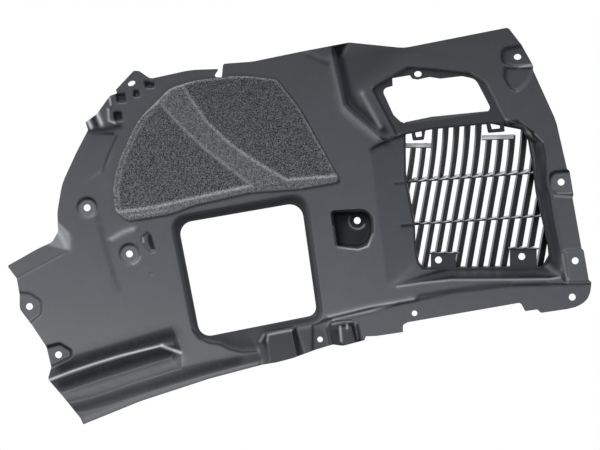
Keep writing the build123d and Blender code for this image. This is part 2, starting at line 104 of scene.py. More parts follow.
# Outlines in plan as (x, z, corner radius)
OUTER_EDGE = [
    (-409.5, -53, 2), (-374, -33, 20), (-357, -25, 8), (-350, -13, 8), (-351, 10, 30),
    (-345.5, 43, 60), (-329, 79, 0), (-315, 106, 2), (-318, 115, 2), (-304.5, 125, 3),
    (-289.5, 146, 4), (-281, 149, 1), (-282.5, 153, 1), (-261.5, 175.5, 4), (-255, 175, 4),
    (-242, 166, 8), (-227, 169.3, 20), (-195, 176.3, 60), (-162, 177.5, 1), (-168, 168, 2),
    (-158.5, 167.5, 2), (-157, 183.5, 3), (-123, 186, 40), (-67, 197.5, 40), (-9.5, 208.5, 5),
    (54.5, 202, 40), (176.5, 226, 5), (192, 206, 4), (206, 181, 6), (205.5, 176.5, 2),
    (232.5, 117, 40), (245.5, 60.5, 1), (248.5, 58, 2), (253, 30.5, 2), (252, 26.5, 1),
    (262.5, -32.5, 1), (265, -35, 2), (271, -69.5, 2), (274, -72, 2), (273.2, -80.4, 12),
    (272, -86, 12), (268.7, -92.7, 12), (262.5, -97.8, 12), (255.2, -101.3, 12), (245.3, -103.6, 12),
    (215, -108, 2), (210.5, -104, 2), (196.5, -106, 2), (191, -96, 4), (59, -119, 4),
    (53.5, -122, 3), (53.5, -130.5, 1), (22.5, -135, 0), (10, -135.5, 1), (8.5, -140, 1),
    (-16.5, -146.5, 4), (-28.5, -145, 6), (-48.5, -151, 0), (-75.5, -161, 0), (-94.5, -166, 0),
    (-110.5, -168.5, 0), (-173, -185, 0), (-254, -211.5, 0), (-320.5, -238.5, 1), (-324, -231, 2),
    (-345, -205, 6), (-362, -185.5, 5), (-358, -171.5, 6), (-363.5, -148, 6), (-380, -123, 12),
    (-395, -103.5, 12), (-395, -87, 6), (-398.5, -67.5, 2),
]
WINDOW = [(-209.5, -3.5, 15), (-65.5, 21.5, 16), (-47, -110, 11), (-183.5, -137, 14)]
WINDOW_RIM = [
    (-220.5, 4, 16), (-59, 34, 18), (-38.5, -118.5, 14), (-66, -124.5, 4), (-104, -132, 0),
    (-116, -152.5, 4), (-133.7, -154.2, 8), (-148.2, -151, 6), (-161.8, -144.7, 4),
    (-173, -143.2, 4), (-187, -139, 8), (-195, -122, 10),
]
UPPER_OPENING = [
    (28.5, 154, 7), (41.5, 157.5, 1), (41, 166.5, 1), (61.5, 170, 1), (64.5, 165.8, 2),
    (71, 165, 2), (84.5, 168, 6), (97, 166, 6), (122.5, 169, 12), (138.5, 165.5, 12),
    (158, 128, 6), (140, 124.5, 0), (60, 113, 10), (51, 115.5, 8), (42.5, 123.5, 8),
]
UPPER_LEDGE = [
    (16.5, 155, 6), (58, 179.5, 10), (78, 178, 6), (132, 172.5, 15), (150.5, 161.5, 15),
    (176.5, 111, 0), (45.5, 100, 0),
]
UPPER_ZONE = [
    (-36.5, 258, 0), (-29.5, 190, 12), (-16.5, 133, 10), (22.5, 98, 0), (222, -52, 0),
    (238, -68, 0), (243, -73.5, 0), (331, -71, 0), (331, 258, 0),
]
FLANGE_ZONE = [
    (-54, -121, 0), (-33, -113, 0), (15, -101, 0), (66, -92, 0), (109.5, -82.5, 0),
    (178.5, -74, 0), (331, -70.5, 0), (331, -210, 0), (-54, -210, 0),
]
DATUM_POCKET = [(-31, 11, 4), (18.5, 13.5, 15), (18.5, -34, 20), (-25, -31, 4)]
SIDE_PANEL = [
    (-315, 102, 3), (-282, 102.5, 3), (-289.5, 71, 20), (-297.5, 58.5, 12), (-329, 36, 3),
    (-334.5, 43.5, 3), (-320, 79, 60),
]
SIDE_PANEL_EDGE = [(-336, 34), (-320, 79), (-315, 103)]
TEARDROP = [
    (-246, -12.5, 2), (-253.1, -19.5, 4), (-253.1, -25, 4), (-248.4, -32.4, 0), (-242.9, -38.3, 4),
    (-236.7, -36.8, 2), (-235.9, -34, 2), (-240.6, -19.2, 0), (-242.9, -14, 2),
]
TEARDROP_DEEP = [
    (-244.5, -14.5, 1), (-240.6, -17.7, 2), (-236.5, -34.7, 2), (-241.2, -34, 2), (-244.9, -26.2, 6),
    (-245.3, -19.2, 2),
]
UPPER_V = [(-33, 206, 0), (-6, 212, 0), (-14, 197, 3), (-20.5, 186, 2)]
TOP_PANEL = [
    (-24, 200, 4), (-14, 137, 4), (22, 105, 4), (5, 150, 4), (60, 190, 4), (150, 182, 4), (40, 215, 4),
]
CLIP_POCKETS = [
    [(-283, 148, 1), (-271, 149, 1), (-270, 138, 1), (-281, 138, 1)],
    [(-262, 153, 1), (-255, 152, 1), (-254, 145, 1), (-262, 144, 1)],
    [(-249.5, 164, 1), (-237, 161, 1), (-237, 155, 2), (-248, 155, 2)],
    [(-286, 128, 3), (-275, 127, 3), (-274, 117, 3), (-284, 116, 3)],
]
BOX_BOSSES = [
    (
        [(-116.5, -142, 0), (-107, -130.5, 0), (-73, -124.5, 0), (-60, -190, 0), (-104, -190, 0)],
        [(-105.5, -141, 0), (-104.5, -133.5, 0), (-76.5, -128, 0), (-64, -190, 0), (-100, -190, 0)],
    ),
    (
        [(-35.5, -123, 6), (-30, -116.5, 5), (-5.5, -115.5, 5), (-0.5, -122, 4), (5.5, -153.5, 0),
         (-26.5, -158.5, 0)],
        [(-21.5, -125.5, 3), (-7, -123.5, 3), (1, -153.5, 0), (-15.5, -158.5, 0)],
    ),
]
BOSS_TILTS = (0.22, 0.05)

# Lower channel: lines across the sheet as (x, z), from its upper edge down to the liner's lower edge
CHANNEL_EDGE = [(-358, -171), (-340, -164), (-331, -158), (-296, -148), (-220, -125)]
CHANNEL_RIDGE = [(-360, -188.5), (-305, -169.3), (-254, -153.7), (-228, -146.4)]
CHANNEL_VALLEY = [(-344, -202.4), (-305, -188), (-254, -172), (-216, -160), (-207, -155.6)]
CHANNEL_CREST = [(-338.5, -213.4), (-309, -206.4), (-258, -188.8), (-213, -174), (-182, -166.3),
                 (-114, -155)]
LIP_START = [(-320, -224.4), (-293, -217.7), (-258, -206.4), (-226, -195.4), (-182, -183), (-137, -170.7),
             (-110, -165)]
LOWER_EDGE = [(-320.5, -238.5), (-254, -211.5), (-173, -185), (-110.5, -168.5)]
CHANNEL_END = [(-206, -152), (-216, -126)]
CHANNEL_RIDGE_DEPTH = 8.0
CHANNEL_VALLEY_DEPTH = 15.0
CHANNEL_CREST_DEPTH = 2.0
HOLLOW_DEPTH = 7.5
LOWER_LIP_DEPTH = 4.5
RIDGE_HALF = 3.0
RIDGE_RISE = 1.5
RIDGE_DROP = 1.0
CHANNEL_END_SLOPE = 1.3
CHANNEL_STOP = -100.0
CREST_FADE = (-195.0, 60.0)
HOLLOW_FADE = (-112.0, 4.0)
LIP_OVERRUN = 1.2
LEAST_SPAN = 0.1

# Vent funnel and grille. VENT_RIGHT gives x over z, and a clip window is (left, right, foot).
VENT = [
    (54.4, 102.5, 4), (54.9, 47.5, 20), (65.2, -6.3, 20), (66.3, -33.2, 0), (70, -51, 6),
    (76, -57.5, 4), (218, -56, 8), (226, -42, 6), (224.2, -25, 0), (217, 5.4, 0), (210.7, 33.5, 0),
    (207.6, 59.6, 0), (201.7, 94.5, 10), (195, 108, 10), (156.4, 115.4, 0), (86.6, 108.8, 0),
]
RAMP_LINE = ((14, 90), (36, -80))
RAMP_SLOPE = 0.42
FUNNEL_ROUND = 3.0
VENT_TOP = [(16, 82.5), (53.5, 101.5), (187.5, 117), (205, 104)]
VENT_TOP_SLOPE = 6.0
VENT_RIGHT = [(-64.5, 238.5), (-40.2, 239), (-2.8, 231.3), (26.8, 226.9), (39.9, 223), (75.6, 221.5),
              (92, 218), (101, 208)]
VENT_RIGHT_SLOPE = 1.28
VENT_SILL = [(46.8, -77.3), (74, -73), (110, -69.3), (178.7, -68.9), (224.3, -68.3), (236.7, -65.6)]
VENT_SILL_SLOPE = 1.9
FIRST_SLAT_X = 39.4
SLAT_COUNT = 15
SLAT_PITCH = 11.55
SLAT_SPREAD = 0.1
SLAT_ROW_Z = 13.6
SLAT_LEAN = 0.181
SLAT_BEND = 0.00113
SLAT_BEND_Z = 45.0
SLAT_WALL = 2.2
SLAT_DEPTH = 14.0
SLAT_TURNS = (18.5, 26.0)
SLAT_STEP = 1.5
SLAT_CHAMFER = 0.5
SLAT_FOOT = 4.0
SLAT_FOOT_Z = -38.0
SLAT_FOOT_WALL = 8.0
BAR_WALL = 1.6
BAR_CHAMFER = 0.3
BAR_DEPTH = 10.0
BAR_PEAK = 1.3
BAR_PEAK_SPAN = (-4.5, -0.8, 2.6)
SILL_BAR_WALL = 1.1
SILL_BAR_DEPTH = 11.0
COLLAR_WALL = 2.2
COLLAR_BITE = 1.6
COLLAR_GAP = 0.4
TAB_WALL = 2.6
LOOP_WALL = 2.6
LOOP_GAP = 0.3
BARS = [((57.3, 44.7), (207, 55.5)), ((66.3, -4.8), (216, 4.9))]
SHORT_BARS = [((85, -38.5), (119.5, -38.5)), ((176.5, -33), (213, -33))]
SILL_BARS = [((55.7, 85.5), (88, 85.5)), ((145.5, 94.5), (183, 95.5))]
CLIP_WINDOWS = [(50, 86, 86), (147.5, 181, 95)]
LOOPS = [
    [(62, 110, 0), (65, 93.5, 1.5), (78, 94.5, 1.5), (80.5, 111, 0)],
    [(149.5, 119, 0), (153, 102.5, 1.5), (172.5, 104, 1.5), (171.5, 119, 0)],
]
LOOP_WINDOWS = [
    [(67, 106, 0.8), (69, 97.5, 0.8), (75.5, 98.5, 0.8), (75, 107, 0.8)],
    [(155.5, 115, 0.8), (157.5, 107, 0.8), (167, 108, 0.8), (166, 115.5, 0.8)],
]
TABS = [
    [(86, -38.5, 1), (115.5, -38.5, 1), (115.5, -56.8, 1), (86, -56.8, 1)],
    [(178.5, -33, 1), (210, -33, 1), (210, -55.3, 1), (178.5, -55.3, 1)],
]
TAB_SCREWS = [(95, -46), (192.5, -42)]

# Left lip, bent towards the wheel
LIP_FOLD = ((-401.5, -69.5), (-341, -37.5))
LIP_END = ((-335, -37), (-356, -5))
LIP_SLOPE = 0.84

# Screw holes as (x, z), their radii, and the tilted holes and the slot with both half widths
SCREW_R = 4.0
SMALL_SCREW_R = 3.25
SCREWS = [(-383.5, -100.5), (-349.5, -157), (-316, 15), (-266.5, -39), (0, 0), (238.5, 45), (255, -47),
          (251.5, -89.5)]
SMALL_SCREWS = [(-43.5, -139), (67, -108.5)]
UPPER_SCREWS = [(187.5, 191.5), (71, 171.5)]
UPPER_SCREW_HALF = (4.3, 3.4)
CLIP_SLOT = (-264, 160.5)
CLIP_SLOT_HALF = (4.5, 2.7)
CLIP_SLOT_TURN = radians(25.0)

# Screw pads
LEFT_PADS = [
    [(-430, -81, 0), (-383, -84, 8), (-369, -93, 8), (-369, -109.5, 8), (-383, -121, 8), (-430, -136, 0)],
    [(-390, -154, 0), (-348, -142.5, 6), (-333, -151.5, 5), (-334, -160, 2), (-359.5, -172.5, 0),
     (-390, -182, 0)],
]
ROUND_PAD_R = 12.5
SIDE_PAD = [(224.5, 57.5, 8), (290, 63, 0), (290, 25, 0), (224.5, 33.5, 8)]
BAND_PAD = [(240.5, -34, 4), (310, -29, 0), (310, -72, 0), (245, -72, 3)]
UPPER_PAD = [(168, 202, 8), (235, 213, 0), (235, 181, 0), (182, 179, 4), (168, 184, 8)]
TONGUE = [(171.5, 180, 2), (170.8, 166.8, 8), (177.5, 155, 10), (186, 149.5, 8), (192, 154, 10),
          (201, 163, 8), (206, 177, 0), (206, 180, 0)]
LEFT_PAD_DEPTH = 2.9
SIDE_PAD_DEPTH = 3.8
INNER_PAD_DEPTH = 3.0
BAND_PAD_HEIGHT = 4.0
TONGUE_DEPTH = 4.0
LEFT_PAD_WALL = 1.8
ROUND_PAD_WALL = 2.0
SIDE_PAD_WALL = 2.0
BAND_PAD_WALL = 2.5
UPPER_PAD_WALL = 3.0
TONGUE_WALL = 2.5

# Pockets
POCKET_WALL = 3.5
POCKET_RING_R = 9.3
POCKET_RING_STEP = 0.8
POCKET_RING_WALL = 1.0
SIDE_PANEL_DEPTH = 4.0
SIDE_PANEL_WALL = 1.6
SIDE_PANEL_SLANT = 36.0
SIDE_PANEL_FOOT = (38.0, 55.0)
TEARDROP_DEPTH = 2.0
TEARDROP_WALL = 1.2
TEARDROP_DROP = 1.5
TEARDROP_DEEP_WALL = 1.0
CLIP_POCKET_DEPTH = 5.0
CLIP_POCKET_WALL = 1.5

# Felt
FELT_WALL = 5.0
PANEL_PRESS = 2.0
GLUE_LINE = 0.1
FELT_EDGE = [
    (-286, 36, 25), (-283, 10, 12), (-268.5, -1, 10), (-217, 7, 60), (-194.5, 16.5, 60),
    (-127, 32, 90), (-67, 36.5, 90), (-19, 45, 5), (-67, 130.5, 60), (-94, 165.5, 12),
    (-137, 170, 80), (-186.5, 164.5, 60), (-219, 155.5, 30), (-258, 116.5, 80), (-281, 65, 60),
]
FELT_PANELS = [
    [(-285, 66, 40), (-290, 34, 12), (-284, 9, 8), (-239, 15.5, 60), (-124, 41, 0), (-172.3, 78.7, 200),
     (-203.6, 106, 200), (-230, 137, 0), (-259, 120, 60)],
    [(-204.5, 158, 0), (-186, 167.5, 30), (-137, 173, 60), (-91, 168.5, 10), (-64, 132, 60),
     (-16, 53, 0), (-82, 47.5, 0), (-129.4, 74.8, 200), (-164.5, 102.1, 200),
     (-184, 125.5, 200)],
]
FELT_STEP = 1.5
FELT_RIM_GAP = 0.6 * FELT_STEP
FELT_LUMP = 0.22
FELT_SEED = 7
LUMP_SPREAD = 1.0
LUMP_MOST = 2.0
LUMP_EDGE = 3.0
FELT_SMOOTH = 0.6
FELT_RIM_SHARE = 0.3
FELT_ROUND = 3.5
PANEL_OVERLAP = 1.0
PANEL_WALL = 3.0
PANEL_RIM = 2.0
SEAM_HALF = 1.7
SEAM_RISE = 0.4
EDGE_SEAM = 1.4
INNER_SEAM = 5.6
INNER_SEAM_FADE = (-215.0, 20.0)
EDGE_SEAM_SHARE = 0.8

# Thin ridges moulded into the sheet as (line, height, half width). A crease has a negative height.
BEADS = [
    ([(6.3, 147), (26.9, 109.5)], 3.0, 4.2),
    ([(-33, -112.8), (15.3, -101), (66, -92.2)], 1.6, 2.2),
    ([(-28.4, -115.7), (15.3, -106.2), (46.4, -96.4)], 1.4, 1.6),
    ([(-57.7, 195), (-36, 186)], 1.8, 3.0),
    ([(74, -89), (109.6, -82.7), (145.7, -77.3), (178.7, -74.2)], -1.6, 2.0),
    ([(-301, -5), (-294, -31.5), (-287, -59)], 0.7, 2.4),
    ([(-291, -24), (-274, -13.3), (-258, -9.5)], 0.9, 2.4),
    ([(-315.7, 118), (-311, 108.3)], 3.0, 2.4),
    ([(-305, 125), (-298.7, 112.7)], 3.0, 2.6),
    ([(-289.7, 144), (-288.3, 135)], 2.4, 2.0),
    ([(-291.4, 129.8), (-290.5, 116.5), (-283.5, 113.6)], 2.0, 1.8),
    ([(51.7, -5.8), (65.2, -4.9)], 2.0, 1.2),
    ([(43.5, 43.8), (54.5, 44.6)], 1.6, 1.2),
    ([(-241.6, -62.4), (-241, -62.4)], -1.0, 1.2),
]

# Painted shade in recesses and on steep walls, painted highlights and rubbed proud edges, and how closely
# the mesh follows both
SHADE_SLOPE = 0.5
SHADE_REACH = 8.0
SHADE_DROP = 3.0
SHADE_LEAST = 0.3
SHADE_SPREAD = 0.9
WEAR_HIGHLIGHT_REACH = 1.6
WEAR_HIGHLIGHT_LEAST = 0.5
WEAR_HIGHLIGHT_HEIGHT = 2.0
WEAR_HIGHLIGHT_MOST = 0.3
MARK_RELIEF = 0.6
# Painted shade on the grille, the highlight share that clears it, and the painted highlight on slat fronts
GRILLE_SHADE = 0.75
GRILLE_LIT_CUTOFF = 0.25
SLAT_HIGHLIGHT = 0.35

# Painted shade as forms (outline, wall, share) and as lines (line, share, half width)
SHADE_FORMS = [
    (DATUM_POCKET, 3.5, 1.0), (TEARDROP, 1.0, 0.2), (TEARDROP_DEEP, 0.8, 1.0), (UPPER_V, 4.0, 1.0),
    (CLIP_POCKETS[0], 1.5, 0.7), (CLIP_POCKETS[1], 1.5, 0.6), (CLIP_POCKETS[2], 1.5, 0.8),
    (CLIP_POCKETS[3], 1.5, 1.0), (WINDOW_RIM, 5.0, 0.75), (BOX_BOSSES[0][1], 2.0, 0.45),
    (UPPER_LEDGE, 2.0, 0.45), (FLANGE_ZONE, 2.0, 0.08), (TOP_PANEL, 14.0, 0.3),
    (BOX_BOSSES[1][0], 2.0, 0.6),
    ([(-72, -127, 4), (-38, -121, 4), (-32, -150, 4), (-60, -160, 4)], 4.0, 0.5),
]
SHADE_LINES = [
    ([(-304.5, 6.5), (-297.5, -22.7), (-287, -59), (-279, -81)], 0.3, 3.0),
    ([(71, -89.4), (109.6, -82.4), (146, -77.7), (220, -73)], 0.5, 2.5),
    ([(16, 82.6), (29, 91.4), (53.5, 101.3)], 0.6, 3.0),
    ([(-19, 188), (-9, 147), (-2, 134), (12, 122), (32, 105)], 0.8, 6.0),
    ([(51.7, -5.8), (65.2, -4.9)], 0.9, 1.8),
    ([(43.5, 43.8), (54.5, 44.6)], 0.6, 1.5),
    ([(-312.7, 106), (-295, 106.5), (-278, 110.7)], 0.85, 3.6),
    ([(-309, 120.5), (-305, 111)], 0.9, 3.2),
    ([(-281.7, 99), (-290, 80), (-298, 58)], 0.7, 1.5),
    ([(-345, -172), (-312, -160.5), (-273, -149), (-240, -139.5), (-218, -134)], 0.88, 8.5),
    ([(-345, -192), (-307, -178), (-269, -166), (-240, -157.5), (-216, -151.5)], 1.0, 9.0),
    ([(-330, -220), (-300, -211), (-258, -197.5), (-213, -184.5), (-182, -174.7), (-140, -164)], 0.7, 6.5),
    ([(-192.6, -127.8), (-184, -137.7), (-172.9, -143.2), (-161.8, -144.7), (-148.2, -151),
      (-133.7, -154.2), (-117.8, -152.8)], 0.9, 1.6),
    ([(-73, -126), (-68.5, -140), (-63, -160)], 0.9, 2.2),
    ([(-36, -126), (-33, -140), (-29, -156)], 0.8, 1.8),
    ([(0.5, -122), (4, -140), (6, -153)], 0.8, 2.0),
    ([(248.9, 58), (231.3, 57.4), (225.5, 51)], 0.7, 1.5),
    ([(225.5, 51), (225.5, 38.1), (232.5, 32.3), (251.2, 30)], 0.3, 1.5),
    ([(246, -72.5), (272, -71.5)], 0.3, 1.6),
    ([(232, -56), (231.5, -35), (224.5, 0), (219, 30), (215, 60), (212, 84)], 0.75, 6.5),
    ([(76, -66), (110, -62.5), (178, -61), (222, -60)], 0.45, 5.0),
    ([(-255, 1.5), (-244, 3.5)], 0.6, 1.6),
]

# Painted highlights as forms and lines in the same way, and as arcs (place, radius, start, end, share, half
# width)
HIGHLIGHT_FORMS = [
    ([(-404, -70.5, 0), (-341, -37.5, 6), (-335, -28, 6), (-336, -14, 4), (-352, 2, 0), (-385, -5, 0),
      (-425, -45, 0)], 2.0, 0.3),
]
HIGHLIGHT_LINES = [
    ([(-29.6, 190), (-24.2, 168.4), (-18.4, 140), (-15, 128), (3.2, 113), (22.5, 97.8)], 0.17, 4.4),
    ([(6.3, 147), (26.9, 109.5)], 0.25, 3.0),
    ([(-343, -206), (-307, -197), (-262, -182.5), (-226, -171.5), (-206, -163)], 0.09, 6.0),
    ([(-318, -232), (-254, -207.5), (-173, -181.5), (-112, -165)], 0.1, 2.6),
    ([(-359.5, -186), (-336, -176.8), (-307, -167), (-277.6, -158), (-248.4, -151),
      (-228.5, -146.3)], 0.7, 1.2),
    ([(-229, -146.4), (-207, -154.5)], 0.95, 1.8),
    ([(46.8, -77.3), (74, -73), (110, -69.3), (178.7, -68.9), (224.3, -68.3), (238, -66.5)], 0.35, 1.2),
    ([(42.9, -73.6), (66.8, -53.1)], 0.06, 3.6),
    ([(217.3, -50.8), (237.2, -64.8)], 0.08, 3.2),
    ([(-33, -112.8), (15.3, -101), (66, -92.2)], 0.42, 1.7),
    ([(-28.4, -115.7), (15.3, -106.2), (46.4, -96.4)], 0.38, 1.4),
    ([(-28.4, -6.3), (-24.6, -28.5), (-22.6, -31), (0.8, -34), (12.5, -30.2), (18, -15.7)], 0.55, 0.9),
    ([(-105.5, -141), (-104.5, -133.5), (-76.5, -128)], 0.3, 1.2),
    ([(-114, -141), (-109, -133)], 0.2, 1.5),
    ([(-20.2, -124), (-18.8, -141)], 0.45, 1.4),
    ([(-29, -121), (-16, -118.5), (-4.5, -117.8)], 0.3, 1.2),
    ([(-2.7, -119.5), (0.8, -138)], 0.4, 1.2),
    ([(-12, -122), (-12, -126)], 0.5, 1.4),
    ([(173, 119), (196, 109), (203.5, 99)], 0.3, 1.2),
    ([(207.9, 101.3), (217.3, 92)], 0.4, 0.9),
    ([(-315.7, 118.9), (-311, 108.3)], 1.0, 2.0),
    ([(-304.5, 125.9), (-298.7, 111.8)], 1.0, 2.2),
    ([(-289.7, 144), (-288.3, 135)], 0.7, 1.2),
    ([(-291.4, 129.8), (-290.5, 116.5), (-283.5, 113.6)], 0.6, 1.2),
    ([(-349, -14), (-341, -31)], 0.5, 5.0),
    ([(-401, -69.3), (-343, -38.6), (-336.5, -31), (-335, -20)], 0.2, 1.2),
    ([(16.5, 155.5), (56, 178.5)], 0.12, 1.2),
    ([(134, 172.5), (151, 161.5), (177, 111)], 0.14, 1.2),
    ([(-287, -22), (-274, -14.3), (-262, -10.2)], 0.36, 2.5),
    ([(-250.9, -20), (-250.4, -25)], 0.5, 1.0),
    ([(240.7, -40), (246.5, -73)], 0.14, 1.8),
    ([(234.5, 32.6), (251, 32.2)], 0.4, 0.9),
    ([(231, 28.5), (251.5, 27.5)], 0.4, 0.9),
    ([(189, 179), (203, 181.8)], 0.4, 1.4),
]
HIGHLIGHT_ARCS = [
    (SCREWS[2], 11.5, 110, 330, 0.01, 2.6),
    (SCREWS[3], 11.5, -80, 60, 0.02, 2.6),
    (SCREWS[3], 13.0, -70, -15, 0.2, 1.1),
    (SCREWS[4], 9.8, 150, 330, 0.1, 1.0),
]


# Plan geometry

def arch_y(z, depth):
    """Y of the surface that lies this deep behind the arch, at height z."""
    return AXLE_Y + np.sqrt((ARCH_R + depth) ** 2 - (z + AXLE_DROP) ** 2)


def depth_of(y, z):
    """Depth behind the arch of a point at this y and height."""
    return np.hypot(y - AXLE_Y, z + AXLE_DROP) - ARCH_R


def ring(outline):
    """Closed run of plan points along an outline, with its corners rounded."""
    corners = np.array([point[:2] for point in outline], float)
    points = []
    for i, (x, z, radius) in enumerate(outline):
        here = corners[i]
        back, ahead = corners[i - 1] - here, corners[(i + 1) % len(corners)] - here
        reach = CORNER_SHARE * min(np.hypot(*back), np.hypot(*ahead))
        back, ahead = back / np.hypot(*back), ahead / np.hypot(*ahead)
        half = 0.5 * acos(np.clip(back @ ahead, -1, 1))
        turn = pi - 2 * half
        if radius == 0 or turn < LEAST_TURN:
            points.append(here)
            continue
        cut = min(radius / tan(half), reach)
        centre = here + (back + ahead) / np.hypot(*(back + ahead)) * cut / cos(half)
        start, end = here + back * cut - centre, here + ahead * cut - centre
        for t in np.linspace(0, 1, ceil(turn / TURN_STEP) + 1):
            points.append(centre + (sin((1 - t) * turn) * start + sin(t * turn) * end) / sin(turn))
    return np.array(points)


def resampled(points, step):
    """A closed run of points with no gap longer than a step."""
    dense = []
    for here, ahead in zip(points, np.roll(points, -1, axis=0)):
        count = max(1, ceil(np.hypot(*(ahead - here)) / step))
        dense += [here + (ahead - here) * i / count for i in range(count)]
    return np.array(dense)


def oval(place, half, turn=0.0):
    """Closed run of points round an oval hole."""
    angles = np.linspace(0, 2 * pi, OVAL_POINTS, endpoint=False)
    x, z = half[0] * np.cos(angles), half[1] * np.sin(angles)
    return np.stack([place[0] + x * cos(turn) - z * sin(turn), place[1] + x * sin(turn) + z * cos(turn)], 1)


def arc(place, radius, start, end):
    """Run of points along part of a circle, between two angles in degrees."""
    angles = np.radians(np.linspace(start, end, ARC_POINTS))
    return np.stack([place[0] + radius * np.cos(angles), place[1] + radius * np.sin(angles)], 1)


def nearest(points, x, z, closed):
    """Distance of each place from a run of points."""
    best = np.full(x.shape, np.inf)
    ends = np.roll(points, -1, axis=0) if closed else points[1:]
    for (x0, z0), (x1, z1) in zip(points, ends):
        dx, dz = x1 - x0, z1 - z0
        t = np.clip(((x - x0) * dx + (z - z0) * dz) / (dx * dx + dz * dz), 0, 1)
        best = np.minimum(best, np.hypot(x - x0 - t * dx, z - z0 - t * dz))
    return best


def covers(points, x, z):
    """Whether each place lies inside a closed run of points."""
    within = np.zeros(x.shape, bool)
    for (x0, z0), (x1, z1) in zip(points, np.roll(points, -1, axis=0)):
        if z0 != z1:
            within ^= ((z0 > z) != (z1 > z)) & (x < x0 + (z - z0) * (x1 - x0) / (z1 - z0))
    return within


PLAN_X, PLAN_Z = np.meshgrid(
    np.arange(PLAN_LOW[0], PLAN_HIGH[0], CELL), np.arange(PLAN_LOW[1], PLAN_HIGH[1], CELL), indexing="ij")


def cells_near(points, reach):
    """The part of the plan grid that lies within reach of some points."""
    low = np.maximum((points.min(0) - reach - PLAN_LOW) / CELL, 0).astype(int)
    high = np.maximum((points.max(0) + reach - PLAN_LOW) / CELL, 0).astype(int)
    return slice(low[0], high[0] + 1), slice(low[1], high[1] + 1)


def inside(outline, reach=FIELD_REACH):
    """How far inside an outline each cell lies, down to -reach outside it."""
    points = ring(outline)
    field = np.full(PLAN_X.shape, -reach)
    box = cells_near(points, reach)
    x, z = PLAN_X[box], PLAN_Z[box]
    gap = nearest(points, x, z, True)
    field[box] = np.maximum(np.where(covers(points, x, z), gap, -gap), -reach)
    return field


def away(line, reach=FIELD_REACH):
    """How far each cell lies from an open line, up to reach."""
    points = np.array(line, float)
    field = np.full(PLAN_X.shape, reach)
    box = cells_near(points, reach)
    field[box] = np.minimum(nearest(points, PLAN_X[box], PLAN_Z[box], False), reach)
    return field


def left_of(line):
    """How far each cell lies on the left of an endless line."""
    (x0, z0), (x1, z1) = line
    return ((x1 - x0) * (PLAN_Z - z0) - (z1 - z0) * (PLAN_X - x0)) / hypot(x1 - x0, z1 - z0)


def height_of(line):
    """Height of a line that runs across the plan, over each cell."""
    xs, zs = zip(*line)
    return np.interp(PLAN_X, xs, zs)


def part_way(distance, wall):
    """0 up to an edge, then rising to 1 across a wall."""
    return np.clip(distance / wall, 0, 1)


def lofted(outer, inner):
    """0 outside one outline, rising to 1 at a smaller one within it."""
    within = np.maximum(inside(outer), 0)
    return within / np.maximum(within + np.maximum(-inside(inner), 0), TINY)


def blurred(field, spread):
    """A field with its edges rounded over this distance."""
    reach = ceil(BLUR_REACH * spread / CELL)
    weights = np.exp(-0.5 * (np.arange(-reach, reach + 1) * CELL / spread) ** 2)
    weights /= weights.sum()
    for axis in (0, 1):
        padded = np.pad(field, [(reach, reach) if a == axis else (0, 0) for a in (0, 1)], mode="edge")
        field = sum(w * np.take(padded, np.arange(i, i + field.shape[axis]), axis)
                    for i, w in enumerate(weights))
    return field


def sampled(field):
    """Function that reads a field between its cells."""
    def read(x, z):
        u = np.clip((x - PLAN_LOW[0]) / CELL, 0, field.shape[0] - GRID_MARGIN)
        v = np.clip((z - PLAN_LOW[1]) / CELL, 0, field.shape[1] - GRID_MARGIN)
        i, j = u.astype(int), v.astype(int)
        u, v = u - i, v - j
        low = field[i, j] * (1 - u) + field[i + 1, j] * u
        high = field[i, j + 1] * (1 - u) + field[i + 1, j + 1] * u
        return low * (1 - v) + high * v
    return read


# Depths of the moulded sheet

def sunk(depth, outline, level, wall):
    """A recess down to a level, with a wall of this width inside its outline."""
    return depth + np.maximum(level - depth, 0) * part_way(inside(outline), wall)


def upper_zone(depth):
    """The deeper zone at the top and right, behind a sloped step, with the ledge round its opening."""
    depth = np.maximum(depth, UPPER_DEPTH * part_way(inside(UPPER_ZONE, WIDE_REACH), STEP_WALL))
    depth = sunk(depth, UPPER_V, UPPER_DEPTH + UPPER_V_DROP, UPPER_V_WALL)
    return sunk(depth, UPPER_LEDGE, LEDGE_DEPTH, LEDGE_WALL)


def lower_flange(depth):
    """The flange along the lower edge, a little deeper than the sheet above it."""
    return np.maximum(depth, FLANGE_DEPTH * part_way(inside(FLANGE_ZONE, WIDE_REACH), FLANGE_WALL))


def window_rim(depth):
    """The sloped rim of the window, with its scoop at the lower left."""
    share = lofted(WINDOW_RIM, WINDOW)
    return np.maximum(depth, RIM_DEPTH * (1 - (1 - share) ** RIM_CURVE))


